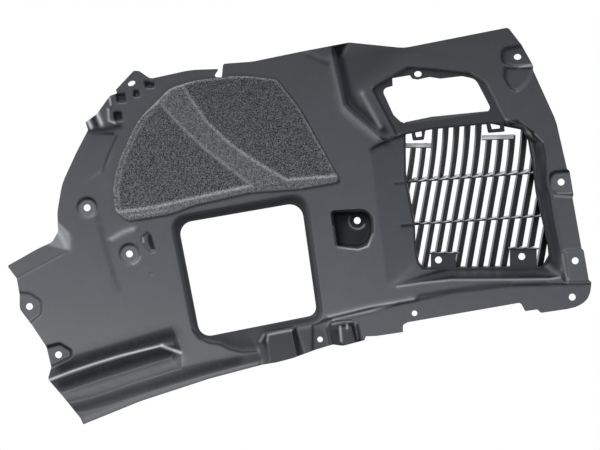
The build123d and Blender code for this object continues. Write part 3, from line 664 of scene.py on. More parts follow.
def lower_channel(depth):
    """The channel at the lower left, the rounded crest under it, and the hollow and lip below that."""
    edge, ridge = height_of(CHANNEL_EDGE), height_of(CHANNEL_RIDGE)
    valley, crest = height_of(CHANNEL_VALLEY), height_of(CHANNEL_CREST)
    start, low = height_of(LIP_START), height_of(LOWER_EDGE)
    steps = [
        (edge, 0.0), (ridge + RIDGE_HALF, CHANNEL_RIDGE_DEPTH), (ridge, CHANNEL_RIDGE_DEPTH - RIDGE_RISE),
        (ridge - RIDGE_HALF, CHANNEL_RIDGE_DEPTH + RIDGE_DROP), (valley, CHANNEL_VALLEY_DEPTH),
        (crest, CHANNEL_CREST_DEPTH),
    ]
    channel = np.zeros(depth.shape)
    for (top, from_depth), (bottom, to_depth) in zip(steps, steps[1:]):
        share = (top - PLAN_Z) / np.maximum(top - bottom, LEAST_SPAN)
        between = (share >= 0) & (share <= 1)
        channel = np.where(between, from_depth + (to_depth - from_depth) * share, channel)
    end_x = np.interp(PLAN_Z, *zip(*[(z, x) for x, z in CHANNEL_END]))
    channel = np.minimum(channel, np.maximum(end_x - PLAN_X, 0) * CHANNEL_END_SLOPE)
    channel = np.where(PLAN_X < CHANNEL_STOP, channel, 0)
    below = (crest - PLAN_Z) / np.maximum(crest - start, LEAST_SPAN)
    lip = (start - PLAN_Z) / np.maximum(start - low, LEAST_SPAN)
    crest_depth = CHANNEL_CREST_DEPTH * part_way(CREST_FADE[0] - PLAN_X, CREST_FADE[1])
    hollow = np.where(below > 0, crest_depth + (HOLLOW_DEPTH - crest_depth) * np.clip(below, 0, 1), 0)
    lip_depth = HOLLOW_DEPTH + (LOWER_LIP_DEPTH - HOLLOW_DEPTH) * np.clip(lip, 0, LIP_OVERRUN)
    hollow = np.where(lip > 0, lip_depth, hollow)
    hollow = hollow * part_way(HOLLOW_FADE[0] - PLAN_X, HOLLOW_FADE[1])
    return np.maximum(depth, np.maximum(channel, hollow))


def vent_funnel(depth):
    """The recess round the vent: a long ramp on the left and steep walls elsewhere."""
    ramp = RAMP_SLOPE * left_of(RAMP_LINE)
    top = UPPER_DEPTH + VENT_TOP_SLOPE * (height_of(VENT_TOP) - PLAN_Z)
    right_x = np.interp(PLAN_Z, *zip(*VENT_RIGHT))
    right = UPPER_DEPTH + VENT_RIGHT_SLOPE * (right_x - PLAN_X)
    sill = VENT_SILL_SLOPE * (PLAN_Z - height_of(VENT_SILL))
    corner = -FUNNEL_ROUND * np.logaddexp(-ramp / FUNNEL_ROUND, -sill / FUNNEL_ROUND)
    corner = -FUNNEL_ROUND * np.logaddexp(-corner / FUNNEL_ROUND, -right / FUNNEL_ROUND)
    funnel = np.minimum.reduce([corner, top, right, sill])
    floor = VENT_DEPTH + SLAT_FOOT * part_way(SLAT_FOOT_Z - PLAN_Z, SLAT_FOOT_WALL)
    return np.maximum(depth, np.minimum(funnel, floor))


def left_lip(depth):
    """The lip on the left, bent towards the wheel."""
    lip = np.minimum(left_of(LIP_FOLD), left_of(LIP_END))
    return depth - LIP_SLOPE * np.maximum(lip, 0)


def box_bosses(depth):
    """The two bosses at the lower edge, each with a face that leans."""
    for (outer, face), tilt in zip(BOX_BOSSES, BOSS_TILTS):
        share = lofted(outer, face)
        height = BOSS_HEIGHT - tilt * (face[0][1] - PLAN_Z)
        depth = depth * (1 - share) - height * share
    return depth


def beads(depth):
    """The thin ridges and creases."""
    for line, height, width in BEADS:
        depth = depth - height * np.exp(-((away(line) / width) ** 2))
    return depth


def flat_pad(depth, outline, screw, sink, wall, base=0.0):
    """A screw pad that is flat and square to Y, this far behind the sheet where the screw is."""
    level = arch_y(screw[1], base) + sink
    share = part_way(inside(outline), wall)
    return depth + (depth_of(level, PLAN_Z) - depth) * share


def round_pad(depth, screw, sink):
    """A round flat screw pad."""
    level = depth_of(arch_y(screw[1], 0.0) + sink, PLAN_Z)
    within = ROUND_PAD_R - np.hypot(PLAN_X - screw[0], PLAN_Z - screw[1])
    share = part_way(within, ROUND_PAD_WALL)
    return depth + (level - depth) * share


def screw_pads(depth):
    """The flat seats under the screw heads."""
    for pad in LEFT_PADS:
        depth = flat_pad(depth, pad, SCREWS[0], LEFT_PAD_DEPTH, LEFT_PAD_WALL)
    depth = round_pad(depth, SCREWS[2], SIDE_PAD_DEPTH)
    depth = round_pad(depth, SCREWS[3], INNER_PAD_DEPTH)
    depth = flat_pad(depth, SIDE_PAD, SCREWS[2], SIDE_PAD_DEPTH, SIDE_PAD_WALL)
    depth = flat_pad(depth, BAND_PAD, SCREWS[6], -BAND_PAD_HEIGHT, BAND_PAD_WALL, UPPER_DEPTH)
    depth = sunk(depth, UPPER_PAD, LEDGE_DEPTH, UPPER_PAD_WALL)
    return sunk(depth, TONGUE, UPPER_DEPTH + TONGUE_DEPTH, TONGUE_WALL)


def pockets(depth):
    """The deep datum pocket and the small recesses."""
    floor = depth_of(0.0, PLAN_Z)
    wall = part_way(inside(DATUM_POCKET), POCKET_WALL)
    ring_step = POCKET_RING_STEP * part_way(np.hypot(PLAN_X, PLAN_Z) - POCKET_RING_R, POCKET_RING_WALL)
    depth = depth + (floor - ring_step - depth) * wall
    slant = part_way(away(SIDE_PANEL_EDGE, WIDE_REACH), SIDE_PANEL_SLANT)
    slant = slant * part_way(PLAN_Z - SIDE_PANEL_FOOT[0], SIDE_PANEL_FOOT[1])
    depth = depth + SIDE_PANEL_DEPTH * slant * part_way(inside(SIDE_PANEL), SIDE_PANEL_WALL)
    depth = depth + TEARDROP_DEPTH * part_way(inside(TEARDROP), TEARDROP_WALL)
    depth = depth + TEARDROP_DROP * part_way(inside(TEARDROP_DEEP), TEARDROP_DEEP_WALL)
    for pocket in CLIP_POCKETS:
        depth = depth + CLIP_POCKET_DEPTH * part_way(inside(pocket), CLIP_POCKET_WALL)
    return depth


def sheet_depth():
    """Depth of the liner's wheel face over the whole plan."""
    depth = np.zeros(PLAN_X.shape)
    for form in (upper_zone, lower_flange, window_rim, lower_channel, vent_funnel, left_lip, box_bosses,
                 beads, screw_pads, pockets):
        depth = form(depth)
    return blurred(depth, EDGE_ROUND)


def wear_and_painted_light(depth):
    """Two fields from 0 to 1: rubbed proud edges with painted highlights, and painted shade on recesses and
    walls.
    """
    # Painted shade: darker on steep walls and where the sheet drops away, and along the listed forms and
    # lines
    dx, dz = np.gradient(depth, CELL)
    drop = np.clip(np.abs(depth - blurred(depth, SHADE_REACH)) / SHADE_DROP, SHADE_LEAST, 1)
    painted_shade = drop * part_way(np.hypot(dx, dz) - SHADE_SLOPE, SHADE_SPREAD)
    for outline, wall, share in SHADE_FORMS:
        painted_shade = np.maximum(painted_shade, share * part_way(inside(outline), wall))
    for line, share, width in SHADE_LINES:
        painted_shade = np.maximum(painted_shade, share * np.exp(-((away(line) / width) ** 2)))
    # Rubbed proud edges and painted highlights, which clear the painted shade under them
    proud = blurred(depth, WEAR_HIGHLIGHT_REACH) - depth
    wear_and_highlight = WEAR_HIGHLIGHT_MOST * np.clip((proud - WEAR_HIGHLIGHT_LEAST) / WEAR_HIGHLIGHT_HEIGHT, 0, 1)
    for outline, wall, share in HIGHLIGHT_FORMS:
        near = part_way(inside(outline), wall)
        wear_and_highlight = np.maximum(wear_and_highlight, share * near)
        painted_shade = painted_shade * (1 - near)
    arcs = [(arc(*run), share, width) for *run, share, width in HIGHLIGHT_ARCS]
    for line, share, width in HIGHLIGHT_LINES + arcs:
        near = np.exp(-((away(line) / width) ** 2))
        wear_and_highlight = np.maximum(wear_and_highlight, share * near)
        painted_shade = painted_shade * (1 - near)
    return wear_and_highlight, painted_shade * (1 - wear_and_highlight)


def far_face(y):
    """The face one wall behind a face, with the wall measured square to it."""
    reach = ceil(WALL / CELL)
    padded = np.pad(y, reach, mode="edge")
    far = np.full(y.shape, -np.inf)
    for i in range(-reach, reach + 1):
        for j in range(-reach, reach + 1):
            rest = WALL**2 - (i * i + j * j) * CELL**2
            if rest >= 0:
                moved = padded[reach + i:reach + i + y.shape[0], reach + j:reach + j + y.shape[1]]
                far = np.maximum(far, moved + sqrt(rest))
    return far


def mesh_points(depth, loops):
    """Plan points for the sheet: close together where the depth bends, wide apart where it is plain."""
    dx, dz = np.gradient(depth, CELL)
    bend = np.abs(np.gradient(dx, CELL, axis=0)) + np.abs(np.gradient(dz, CELL, axis=1))
    bend = bend + np.abs(np.gradient(dx, CELL, axis=1))
    taken = np.zeros(depth.shape, bool)
    for loop in loops:
        i, j = np.round((loop - PLAN_LOW) / CELL).astype(int).T
        for di in (-1, 0, 1):
            for dj in (-1, 0, 1):
                taken[np.clip(i + di, 0, depth.shape[0] - 1), np.clip(j + dj, 0, depth.shape[1] - 1)] = True
    chosen = np.zeros(depth.shape, bool)
    for step in MESH_STEPS:
        count = round(step / CELL)
        wanted = bend
        for axis in (0, 1):
            shifts = range(-count, count + 1, max(1, count // 4))
            wanted = np.maximum.reduce([np.roll(wanted, shift, axis) for shift in shifts])
        wanted = wanted > 2 * MESH_TOLERANCE / step**2
        if step == MESH_STEPS[0]:
            wanted[:] = True
        on_step = np.zeros(depth.shape, bool)
        on_step[::count, ::count] = True
        chosen |= on_step & wanted
    chosen &= ~taken
    return np.stack([PLAN_X[chosen], PLAN_Z[chosen]], 1)


# Meshes

def piece(name, vertices, faces, finish, normals=None):
    """A mesh object in metres that rides on the part."""
    mesh = bpy.data.meshes.new(name)
    mesh.from_pydata((np.asarray(vertices) * MM).tolist(), [], faces)
    mesh.polygons.foreach_set("use_smooth", [normals is not None] * len(mesh.polygons))
    if normals is not None:
        mesh.normals_split_custom_set(normals.tolist())
    mesh.materials.append(finish)
    made = bpy.data.objects.new(name, mesh)
    bpy.context.scene.collection.objects.link(made)
    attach(made, "root")
    return made


def mark(made, name, values):
    """Gives each vertex of a piece a value that its finish reads."""
    made.data.attributes.new(name, "FLOAT", "POINT").data.foreach_set("value", values)


def facing(surface, x, z):
    """Unit normals, towards the wheel, of a surface that gives y over the plan."""
    step = CELL
    slope_x = (surface(x + step, z) - surface(x - step, z)) / (2 * step)
    slope_z = (surface(x, z + step) - surface(x, z - step)) / (2 * step)
    normal = np.stack([slope_x, -np.ones(x.shape), slope_z], 1)
    return normal / np.linalg.norm(normal, axis=1)[:, None]


def plate_mesh(rim, holes, points, front, back):
    """Vertices, faces and corner normals of a closed plate between two surfaces over the plan."""
    loops = [rim, *holes]
    plan = np.vstack([*loops, points]) if len(points) else np.vstack(loops)
    edges, first = [], 0
    for loop in loops:
        edges += [(first + i, first + (i + 1) % len(loop)) for i in range(len(loop))]
        first += len(loop)
    made = delaunay_2d_cdt([Vector(p) for p in plan.tolist()], edges, [], 0, MERGE_GAP)
    plan = np.array([v[:] for v in made[0]])
    tris = np.array(made[2])
    middle = plan[tris].mean(1)
    keep = covers(rim, middle[:, 0], middle[:, 1])
    for hole in holes:
        keep &= ~covers(hole, middle[:, 0], middle[:, 1])
    used, tris = np.unique(tris[keep], return_inverse=True)
    plan, tris = plan[used], tris.reshape(-1, 3)
    a, b, c = (plan[tris[:, k]] for k in range(3))
    clockwise = (b[:, 0] - a[:, 0]) * (c[:, 1] - a[:, 1]) < (b[:, 1] - a[:, 1]) * (c[:, 0] - a[:, 0])
    tris[clockwise] = tris[clockwise][:, ::-1]
    x, z = plan.T
    count = len(plan)
    vertices = np.vstack([np.stack([x, front(x, z), z], 1), np.stack([x, back(x, z), z], 1)])
    sides = np.vstack([tris[:, [0, 1]], tris[:, [1, 2]], tris[:, [2, 0]]])
    border = sides[~np.isin(sides[:, 0] * count + sides[:, 1], sides[:, 1] * count + sides[:, 0])]
    walls = np.stack([border[:, 0], border[:, 0] + count, border[:, 1] + count, border[:, 1]], 1)
    faces = tris.tolist() + (tris[:, ::-1] + count).tolist() + walls.tolist()
    run = plan[border[:, 1]] - plan[border[:, 0]]
    out = np.stack([run[:, 1], np.zeros(len(run)), -run[:, 0]], 1)
    out /= np.linalg.norm(out, axis=1)[:, None]
    corners = [facing(front, x, z)[tris].reshape(-1, 3), -facing(back, x, z)[tris[:, ::-1]].reshape(-1, 3),
               np.repeat(out, 4, axis=0)]
    return vertices, faces, np.vstack(corners)


def liner_sheet(finish):
    """The moulded sheet of the liner, with its openings and screw holes."""
    depth = sheet_depth()
    rim = resampled(ring(OUTER_EDGE), LOOP_STEP)
    holes = [resampled(ring(outline), LOOP_STEP) for outline in (WINDOW, UPPER_OPENING, VENT)]
    holes += [oval(place, (SCREW_R, SCREW_R)) for place in SCREWS]
    holes += [oval(place, (SMALL_SCREW_R, SMALL_SCREW_R)) for place in SMALL_SCREWS]
    holes += [oval(place, UPPER_SCREW_HALF) for place in UPPER_SCREWS]
    holes.append(oval(CLIP_SLOT, CLIP_SLOT_HALF, CLIP_SLOT_TURN))
    front = arch_y(PLAN_Z, depth)
    wear_and_highlight, painted_shade = wear_and_painted_light(depth)
    points = mesh_points(depth + MARK_RELIEF * (wear_and_highlight + painted_shade), [rim, *holes])
    points = points[covers(rim, points[:, 0], points[:, 1])]
    made = plate_mesh(rim, holes, points, sampled(front), sampled(far_face(front)))
    liner = piece("moulded_liner", made[0], made[1], finish, made[2])
    # Painted highlights and painted shade, kept on each vertex for the finish to read
    for name, field in (("wear_and_highlight", wear_and_highlight), ("painted_shade", painted_shade)):
        mark(liner, name, sampled(field)(made[0][:, 0], made[0][:, 2]))
    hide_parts("liner_shell")
    return sampled(depth)


def on_arch(x, z, base, radius):
    """Place on the line that leaves an arch of the base radius at (x, z), at another radius."""
    angle = asin((z + AXLE_DROP) / base)
    return x, AXLE_Y + radius * cos(angle), radius * sin(angle) - AXLE_DROP


def span_at(points, z):
    """Lowest and highest x at which a level line crosses a closed run of points."""
    crossings = []
    for (x0, z0), (x1, z1) in zip(points, np.roll(points, -1, axis=0)):
        if (z0 > z) != (z1 > z):
            crossings.append(x0 + (z - z0) * (x1 - x0) / (z1 - z0))
    return (min(crossings), max(crossings)) if crossings else (0.0, 0.0)


def tube(sections):
    """Vertices and faces of a solid that passes through a row of sections with equal counts."""
    count = len(sections[0])
    vertices = [point for section in sections for point in section]
    faces = [list(range(count))[::-1]]
    for i in range(len(sections) - 1):
        for j in range(count):
            a, b = i * count + j, i * count + (j + 1) % count
            faces.append([a, b, b + count, a + count])
    last = (len(sections) - 1) * count
    faces.append(list(range(last, last + count)))
    return vertices, faces


def slat_x(index, z):
    """Where the front edge of a slat starts at a height."""
    row = FIRST_SLAT_X + index * SLAT_PITCH + index**2 * SLAT_SPREAD
    return row + SLAT_LEAN * (z - SLAT_ROW_Z) - SLAT_BEND * max(0, z - SLAT_BEND_Z) ** 2


def slat(index, frame_ring):
    """One curved slat of the grille, turned so that its right face shows, with its ends in the collar."""
    turn = radians(SLAT_TURNS[0] + (SLAT_TURNS[1] - SLAT_TURNS[0]) * index / (SLAT_COUNT - 1))
    width, shift = SLAT_WALL / cos(turn), SLAT_DEPTH * tan(turn)
    base = ARCH_R + VENT_DEPTH
    profile = [(SLAT_CHAMFER, 0), (width - SLAT_CHAMFER, 0), (width, SLAT_CHAMFER),
               (width + shift, SLAT_DEPTH), (shift, SLAT_DEPTH), (0, SLAT_CHAMFER)]
    sections = []
    for z in np.arange(frame_ring[:, 1].min(), frame_ring[:, 1].max(), SLAT_STEP):
        x = slat_x(index, z)
        shut = any(low < x < high and z > foot for low, high, foot in CLIP_WINDOWS)
        shut |= any(tab[0][0] < x < tab[1][0] - width - shift and z < tab[0][1] for tab in TABS)
        left, right = span_at(frame_ring, z)
        places = [min(max(x + across, left), right) for across, _ in profile]
        if max(places) - min(places) > SLAT_WALL / 2 and not shut:
            points = [on_arch(place, z, base, base + deep) for place, (_, deep) in zip(places, profile)]
            sections.append(points)
    # Painted highlight on the front face of the slat
    highlight_shares = [SLAT_HIGHLIGHT, SLAT_HIGHLIGHT, 0, 0, 0, 0] * len(sections)
    return (*tube(sections), highlight_shares) if len(sections) > 1 else None


def bar(line, wall, depth, peak=0.0):
    """A crossbar of the grille: a thin plate that stands square to the arch, with a top that rises to a
    peak at each slat and carries a painted highlight."""
    base = ARCH_R + VENT_DEPTH
    (start, start_z), (end, end_z) = line
    tops = [(start, 0.0), (end, 0.0)]
    for index in range(SLAT_COUNT):
        at_slat = slat_x(index, np.interp(slat_x(index, start_z), (start, end), (start_z, end_z)))
        rise, summit, fall = (at_slat + span for span in BAR_PEAK_SPAN)
        if start < rise and fall < end:
            tops += [(rise, 0.0), (summit, peak), (fall, 0.0)]
    sections = []
    for x, lift in sorted(tops):
        middle = np.interp(x, (start, end), (start_z, end_z))
        low, high = middle - wall / 2, middle + wall / 2 + lift
        sections.append([
            on_arch(x, low, base, base),
            on_arch(x, low, base, base + depth),
            on_arch(x, high, base, base + depth),
            on_arch(x, high, base, base + BAR_CHAMFER),
            on_arch(x, high - BAR_CHAMFER, base, base),
        ])
    # Painted highlight on the top face of the bar
    return (*tube(sections), [0, 0, 1, 1, 0] * len(sections))


def drawn_in(points, distance):
    """A closed run of points, counterclockwise in plan, moved inward by a distance."""
    run = np.roll(points, -1, axis=0) - np.roll(points, 1, axis=0)
    return points + np.stack([-run[:, 1], run[:, 0]], 1) / np.hypot(*run.T)[:, None] * distance


def collar(edge, depth_at):
    """The wall that runs back from the edge of the vent, just inside it, and carries the slats."""
    inner = drawn_in(edge, COLLAR_WALL)
    back = ARCH_R + VENT_DEPTH + SLAT_DEPTH
    vertices, faces = [], []
    for (x0, z0), (x1, z1), depth in zip(edge, inner, depth_at(*edge.T)):
        start = ARCH_R + min(depth, VENT_DEPTH) + COLLAR_GAP
        vertices += [on_arch(x0, z0, start, start), on_arch(x1, z1, start, start),
                     on_arch(x1, z1, start, back), on_arch(x0, z0, start, back)]
    total = len(vertices)
    for i in range(0, total, 4):
        for j in range(4):
            a, b = i + j, i + (j + 1) % 4
            faces.append([a, (a + 4) % total, (b + 4) % total, b])
    return vertices, faces, [0.0] * len(vertices)


def joined(parts):
    """One list each of vertices, faces and painted highlight shares from several."""
    vertices, faces, highlight_shares = [], [], []
    for some_vertices, some_faces, some_highlight_shares in parts:
        first = len(vertices)
        vertices += list(some_vertices)
        faces += [[first + k for k in face] for face in some_faces]
        highlight_shares += list(some_highlight_shares)
    return vertices, faces, highlight_shares


def vent_grille(finish, depth_at):
    """Slats, crossbars, collar, screw tabs and clip loops of the vent."""
    edge = resampled(ring(VENT), LOOP_STEP)
    frame_ring = drawn_in(edge, COLLAR_BITE)
    parts = [made for made in (slat(index, frame_ring) for index in range(SLAT_COUNT)) if made]
    parts += [bar(line, BAR_WALL, BAR_DEPTH, BAR_PEAK) for line in BARS + SHORT_BARS]
    parts += [bar(line, SILL_BAR_WALL, SILL_BAR_DEPTH) for line in SILL_BARS]
    parts.append(collar(edge, depth_at))
    nothing = np.zeros((0, 2))
    level = arch_y(TAB_SCREWS[0][1], VENT_DEPTH)
    for tab, screw in zip(TABS, TAB_SCREWS):
        hole = oval(screw, (SCREW_R, SCREW_R))
        made = plate_mesh(ring(tab), [hole], nothing, lambda x, z: level + 0 * x,
                          lambda x, z: level + TAB_WALL + 0 * x)
        parts.append((*made[:2], [0.0] * len(made[0])))
    for loop, gap in zip(LOOPS, LOOP_WINDOWS):
        made = plate_mesh(ring(loop), [ring(gap)], nothing, lambda x, z: arch_y(z, LEDGE_DEPTH + LOOP_GAP),
                          lambda x, z: arch_y(z, LEDGE_DEPTH + LOOP_WALL))
        parts.append((*made[:2], [0.0] * len(made[0])))
    vertices, faces, highlight_shares = joined(parts)
    grille = piece("vent_grille", vertices, faces, finish)
    # Painted highlights on slat fronts and bar tops, and painted shade over the rest of the grille
    mark(grille, "wear_and_highlight", highlight_shares)
    mark(grille, "painted_shade", [GRILLE_SHADE * (1 - min(wear_and_highlight / GRILLE_LIT_CUTOFF, 1)) for wear_and_highlight in highlight_shares])


def bonded_felt(finish):
    """The felt pad, with two panels pressed into it and a lumpy needled surface."""
    rim = resampled(ring(FELT_EDGE), FELT_STEP)
    edge = inside(FELT_EDGE)
    round_edge = np.sqrt(1 - (1 - part_way(edge, FELT_ROUND)) ** 2)
    thick = FELT_WALL * (FELT_RIM_SHARE + (1 - FELT_RIM_SHARE) * round_edge)
    seam = np.zeros(PLAN_X.shape)
    pressed = np.zeros(PLAN_X.shape)
    for panel in FELT_PANELS:
        within = inside(panel)
        pressed = np.maximum(pressed, part_way(within + PANEL_OVERLAP, PANEL_WALL))
        seam = np.maximum(seam, np.exp(-((within / SEAM_HALF) ** 2)))
    edge_line = np.exp(-((edge - EDGE_SEAM) ** 2))
    inner_line = np.exp(-((edge - INNER_SEAM) ** 2))
    inner_line = inner_line * part_way(INNER_SEAM_FADE[0] - PLAN_X, INNER_SEAM_FADE[1])
    seam = np.maximum(seam, EDGE_SEAM_SHARE * np.maximum(edge_line, inner_line))
    thick = thick - PANEL_PRESS * pressed * part_way(edge, PANEL_RIM) + SEAM_RISE * seam
    random = np.random.default_rng(FELT_SEED)
    lumps = blurred(random.normal(size=PLAN_X.shape), LUMP_SPREAD)
    lumps = lumps / lumps.std()
    thick = thick + FELT_LUMP * np.clip(lumps, -LUMP_MOST, LUMP_MOST) * part_way(edge, LUMP_EDGE)
    front = sampled(arch_y(PLAN_Z, -GLUE_LINE - blurred(thick, FELT_SMOOTH)))
    low, high = rim.min(0), rim.max(0)
    x, z = np.meshgrid(np.arange(low[0], high[0], FELT_STEP), np.arange(low[1], high[1], FELT_STEP))
    points = np.stack([x.ravel(), z.ravel()], 1)
    points = points[covers(rim, points[:, 0], points[:, 1])]
    points = points[sampled(edge)(points[:, 0], points[:, 1]) > FELT_RIM_GAP]
    made = plate_mesh(rim, [], points, front, lambda x, z: arch_y(z, -GLUE_LINE))
    felt = piece("bonded_felt", made[0], made[1], finish, made[2])
    for name, field in (("seam", seam), ("pressed", pressed)):
        mark(felt, name, sampled(field)(made[0][:, 0], made[0][:, 2]))
    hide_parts("felt_pad")


# Finishes

class Value:
    """A socket in a node tree, with arithmetic that adds Math nodes."""

    def __init__(self, finish, socket):
        self.finish = finish
        self.socket = socket

    def math(self, operation, first, second):
        """Adds a Math node."""
        return self.finish.node("ShaderNodeMath", {"operation": operation}, {0: first, 1: second})

    def __add__(self, other):
        return self.math("ADD", self, other)

    def __radd__(self, other):
        return self.math("ADD", other, self)

    def __mul__(self, other):
        return self.math("MULTIPLY", self, other)

    def __rmul__(self, other):
        return self.math("MULTIPLY", other, self)


class Finish:
    """The node tree of a material or the world."""

    def __init__(self, owner):
        owner.use_nodes = True
        self.owner = owner
        self.tree = owner.node_tree

    def node(self, kind, settings, inputs, output=0):
        """Adds a node: its settings first, then the values or links of its sockets."""
        made = self.tree.nodes.new(kind)
        for name, setting in settings.items():
            setattr(made, name, setting)
        for key, value in inputs.items():
            self.feed(made.inputs[key], value)
        return Value(self, made.outputs[output])

    def feed(self, socket, value):
        """Sets a socket to a number or colour, or links a value to it."""
        if isinstance(value, Value):
            self.tree.links.new(value.socket, socket)
        else:
            socket.default_value = value

    def noise(self, scale, detail=2.0, roughness=0.5):
        """Smooth noise in the object's own space, with about this many lumps to a metre."""
        place = self.node("ShaderNodeTexCoord", {}, {}, "Object")
        return self.node("ShaderNodeTexNoise", {},
                         {"Vector": place, "Scale": scale, "Detail": detail, "Roughness": roughness})

    def marked(self, name):
        """The value of this name that each vertex of a piece has."""
        return self.node("ShaderNodeAttribute", {"attribute_name": name}, {}, "Fac")

    def mixed(self, share, first, second):
        """A colour between two colours."""
        return self.node("ShaderNodeMix", {"data_type": "RGBA"}, {0: share, 6: first, 7: second}, 2)

    def clamped(self, value, low, high):
        """A value stretched so that low becomes 0 and high becomes 1."""
        return self.node("ShaderNodeMapRange", {}, {"Value": value, "From Min": low, "From Max": high})

    def seen(self):
        """1 for what is seen directly, mirrored or through glass, 0 for the light that it throws."""
        sight = [self.node("ShaderNodeLightPath", {}, {}, f"Is {ray} Ray")
                 for ray in ("Camera", "Glossy", "Transmission")]
        return sight[0] + sight[1] + sight[2]

    def shader(self, **inputs):
        """Sets the sockets of the material's own surface shader."""
        surface = self.tree.nodes["Principled BSDF"]
        for key, value in inputs.items():
            self.feed(surface.inputs[key.replace("_", " ")], value)

    def cover(self, share, second):
        """Lays a second surface over the material's own, by this share."""
        own = Value(self, self.tree.nodes["Principled BSDF"].outputs[0])
        both = self.node("ShaderNodeMixShader", {}, {0: share, 1: own, 2: second})
        self.feed(self.tree.nodes["Material Output"].inputs["Surface"], both)


# Colours, as pairs where noise or a mark runs from one to the other
PLASTIC_TONES = ((0.056, 0.059, 0.066, 1), (0.09, 0.094, 0.104, 1))
SPECK_TONE = (0.15, 0.155, 0.165, 1)
# Pale tone of painted highlights and rubbed edges
WEAR_HIGHLIGHT_TONE = (0.66, 0.67, 0.69, 1)
# Near-black tones of the painted shade
SHADE_TONES = ((0.005, 0.0053, 0.006, 1), (0.014, 0.0147, 0.0165, 1))
FELT_DARKS = ((0.04, 0.041, 0.044, 1), (0.006, 0.006, 0.007, 1))
FELT_LIGHTS = ((0.235, 0.24, 0.25, 1), (0.19, 0.195, 0.205, 1))
SEAM_TONE = (0.4, 0.41, 0.42, 1)
FLOOR_TONES = ((0.78, 0.78, 0.79, 1), (0.82, 0.82, 0.83, 1))
FLOOR_THROW = (0.06, 0.06, 0.06, 1)
WHITE = (1, 1, 1, 1)

# Lumps to a metre of the noises, the limits that cut specks and fibres out of them, the shares of specks
# and of the painted shade's matt black cover, and bump heights in metres
GRAIN_LUMPS = 1500
CLOUD_LUMPS = 14
FLOW_LUMPS = 60
SPECK_LUMPS = 900
SPECK_LIMITS = (0.62, 0.78)
SPECK_SHARE = 0.25
SHADE_SHARE = 0.92
GRAIN_HEIGHT = 0.0004
FIBRE_LUMPS = 700
FINE_LUMPS = 1700
SALT_LIMITS = (0.43, 0.6)
FIBRE_HEIGHT = 0.0009
FLOOR_LUMPS = 3


def moulded_plastic():
    """Satin black moulded plastic: fine spark grain, soft flow clouds, pale specks, rubbed proud edges with
    painted highlights, and painted shade as a matt black cover in recesses and on steep walls."""
    finish = Finish(bpy.data.materials.new("moulded_plastic"))
    grain = finish.noise(GRAIN_LUMPS, 3.0)
    cloud = finish.noise(CLOUD_LUMPS, 4.0)
    flow = finish.noise(FLOW_LUMPS, 3.0)
    speck = finish.clamped(finish.noise(SPECK_LUMPS, 1.0), *SPECK_LIMITS)
    wear_and_highlight = finish.marked("wear_and_highlight")
    painted_shade = finish.marked("painted_shade")
    tone = 0.35 * cloud + 0.35 * flow + 0.3 * grain
    colour = finish.mixed(tone, *PLASTIC_TONES)
    colour = finish.mixed(SPECK_SHARE * speck, colour, SPECK_TONE)
    # Painted highlights and rubbed edges lighten towards a pale tone
    colour = finish.mixed(wear_and_highlight * (0.6 + 0.4 * grain), colour, WEAR_HIGHLIGHT_TONE)
    bump = finish.node("ShaderNodeBump", {}, {"Strength": 0.12, "Distance": GRAIN_HEIGHT, "Height": grain})
    finish.shader(Base_Color=colour, Roughness=0.34 + 0.14 * flow + 0.08 * grain, Normal=bump)
    finish.shader(Specular_IOR_Level=0.25)
    # Painted shade: a near-black matt cover over recesses and steep walls
    black = finish.mixed(tone, *SHADE_TONES)
    matt = finish.node("ShaderNodeBsdfPrincipled", {}, {
        "Base Color": black, "Roughness": 0.7, "Specular IOR Level": 0.08, "Normal": bump})
    finish.cover(SHADE_SHARE * painted_shade, matt)
    return finish.owner


def needled_felt():
    """Grey needled felt: salt and pepper fibres, lighter where it is not pressed and along its seams."""
    finish = Finish(bpy.data.materials.new("needled_felt"))
    fibres = finish.noise(FIBRE_LUMPS, 2.0, 0.7)
    fine = finish.noise(FINE_LUMPS, 2.0, 0.6)
    pressed = finish.marked("pressed")
    seam = finish.marked("seam")
    salt = finish.clamped(0.6 * fibres + 0.4 * fine, *SALT_LIMITS)
    dark = finish.mixed(pressed, *FELT_DARKS)
    light = finish.mixed(pressed, *FELT_LIGHTS)
    colour = finish.mixed(salt, dark, light)
    colour = finish.mixed(seam * (0.25 + 0.5 * salt), colour, SEAM_TONE)
    bump = finish.node("ShaderNodeBump", {}, {
        "Strength": 0.6, "Distance": FIBRE_HEIGHT, "Height": fibres + fine})
    finish.shader(Base_Color=colour, Roughness=0.92, Normal=bump)
    finish.shader(Sheen_Weight=0.15, Sheen_Roughness=0.5, Specular_IOR_Level=0.1)
    return finish.owner


def pale_floor():
    """Plain pale floor, which throws little light back at the liner."""
    finish = Finish(bpy.data.materials.new("pale_floor"))
    pale = finish.mixed(finish.noise(FLOOR_LUMPS), *FLOOR_TONES)
    finish.shader(Base_Color=finish.mixed(finish.seen(), FLOOR_THROW, pale), Roughness=0.8)
    return finish.owner


# Studio, in metres. Lamps as (name, place, target, size, power, colour).

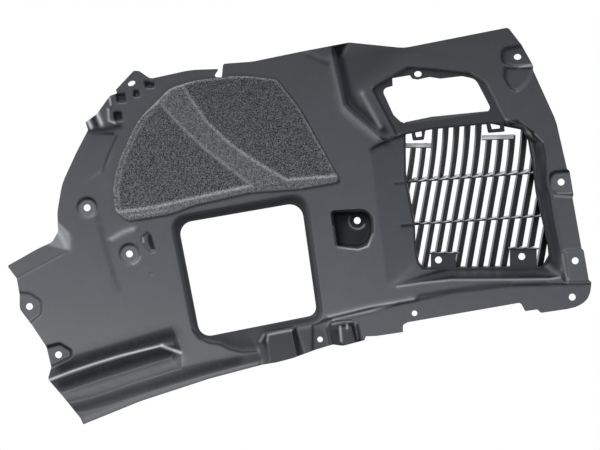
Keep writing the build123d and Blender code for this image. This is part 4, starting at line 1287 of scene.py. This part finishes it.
CAMERA_PLACE = (-0.067, -2.5, -0.00515)
VIEW_WIDTH = 0.702
FLOOR_GAP = 0.001
FLOOR_Z = CAD_BOX[0][2] - FLOOR_GAP
FLOOR_HALF = 2.5
LAMP_WHITE = (1.0, 1.0, 1.0)
LAMP_COOL = (0.74, 0.87, 1.0)
LAMPS = [
    ("key", (-0.95, -1.6, 0.85), (-0.1, -0.05, -0.05), 0.7, 42.0, LAMP_WHITE),
    ("front", (-0.5, -2.1, 0.3), (-0.05, -0.05, 0.0), 0.8, 9.0, LAMP_WHITE),
    ("side", (1.4, -1.3, 0.4), (0.0, -0.05, 0.0), 0.8, 7.0, LAMP_COOL),
    ("back", (0.5, 1.9, 1.3), (-0.07, 0.0, 0.0), 2.4, 30.0, LAMP_WHITE),
]
WORLD_GLOW = 0.03


def studio():
    """Camera at the photo's angle, soft lamps, white surroundings and a pale floor."""
    scene = bpy.context.scene
    scene.view_settings.view_transform = "Standard"
    camera = bpy.data.cameras.new("photo_camera")
    camera.type = "ORTHO"
    camera.ortho_scale = VIEW_WIDTH
    holder = bpy.data.objects.new("photo_camera", camera)
    holder.location = CAMERA_PLACE
    holder.rotation_euler = (pi / 2, 0, 0)
    scene.collection.objects.link(holder)
    scene.camera = holder
    for name, place, target, size, power, colour in LAMPS:
        lamp = bpy.data.lights.new(name, "AREA")
        lamp.shape = "DISK"
        lamp.size = size
        lamp.energy = power
        lamp.color = colour
        stand = bpy.data.objects.new(name, lamp)
        stand.location = place
        stand.rotation_euler = (Vector(target) - Vector(place)).to_track_quat("-Z", "Y").to_euler()
        scene.collection.objects.link(stand)
    world = bpy.data.worlds.new("white_room")
    scene.world = world
    finish = Finish(world)
    glow = (WORLD_GLOW, WORLD_GLOW, WORLD_GLOW, 1)
    room = finish.tree.nodes["Background"]
    finish.feed(room.inputs["Color"], finish.mixed(finish.seen(), glow, WHITE))
    mesh = bpy.data.meshes.new("floor")
    corners = [(x * FLOOR_HALF, y * FLOOR_HALF, FLOOR_Z) for x, y in ((-1, -1), (1, -1), (1, 1), (-1, 1))]
    mesh.from_pydata(corners, [], [(0, 1, 2, 3)])
    mesh.materials.append(pale_floor())
    floor = bpy.data.objects.new("floor", mesh)
    scene.collection.objects.link(floor)


# The liner in its studio

plastic = moulded_plastic()
depth_at = liner_sheet(plastic)
vent_grille(plastic, depth_at)
bonded_felt(needled_felt())
studio()
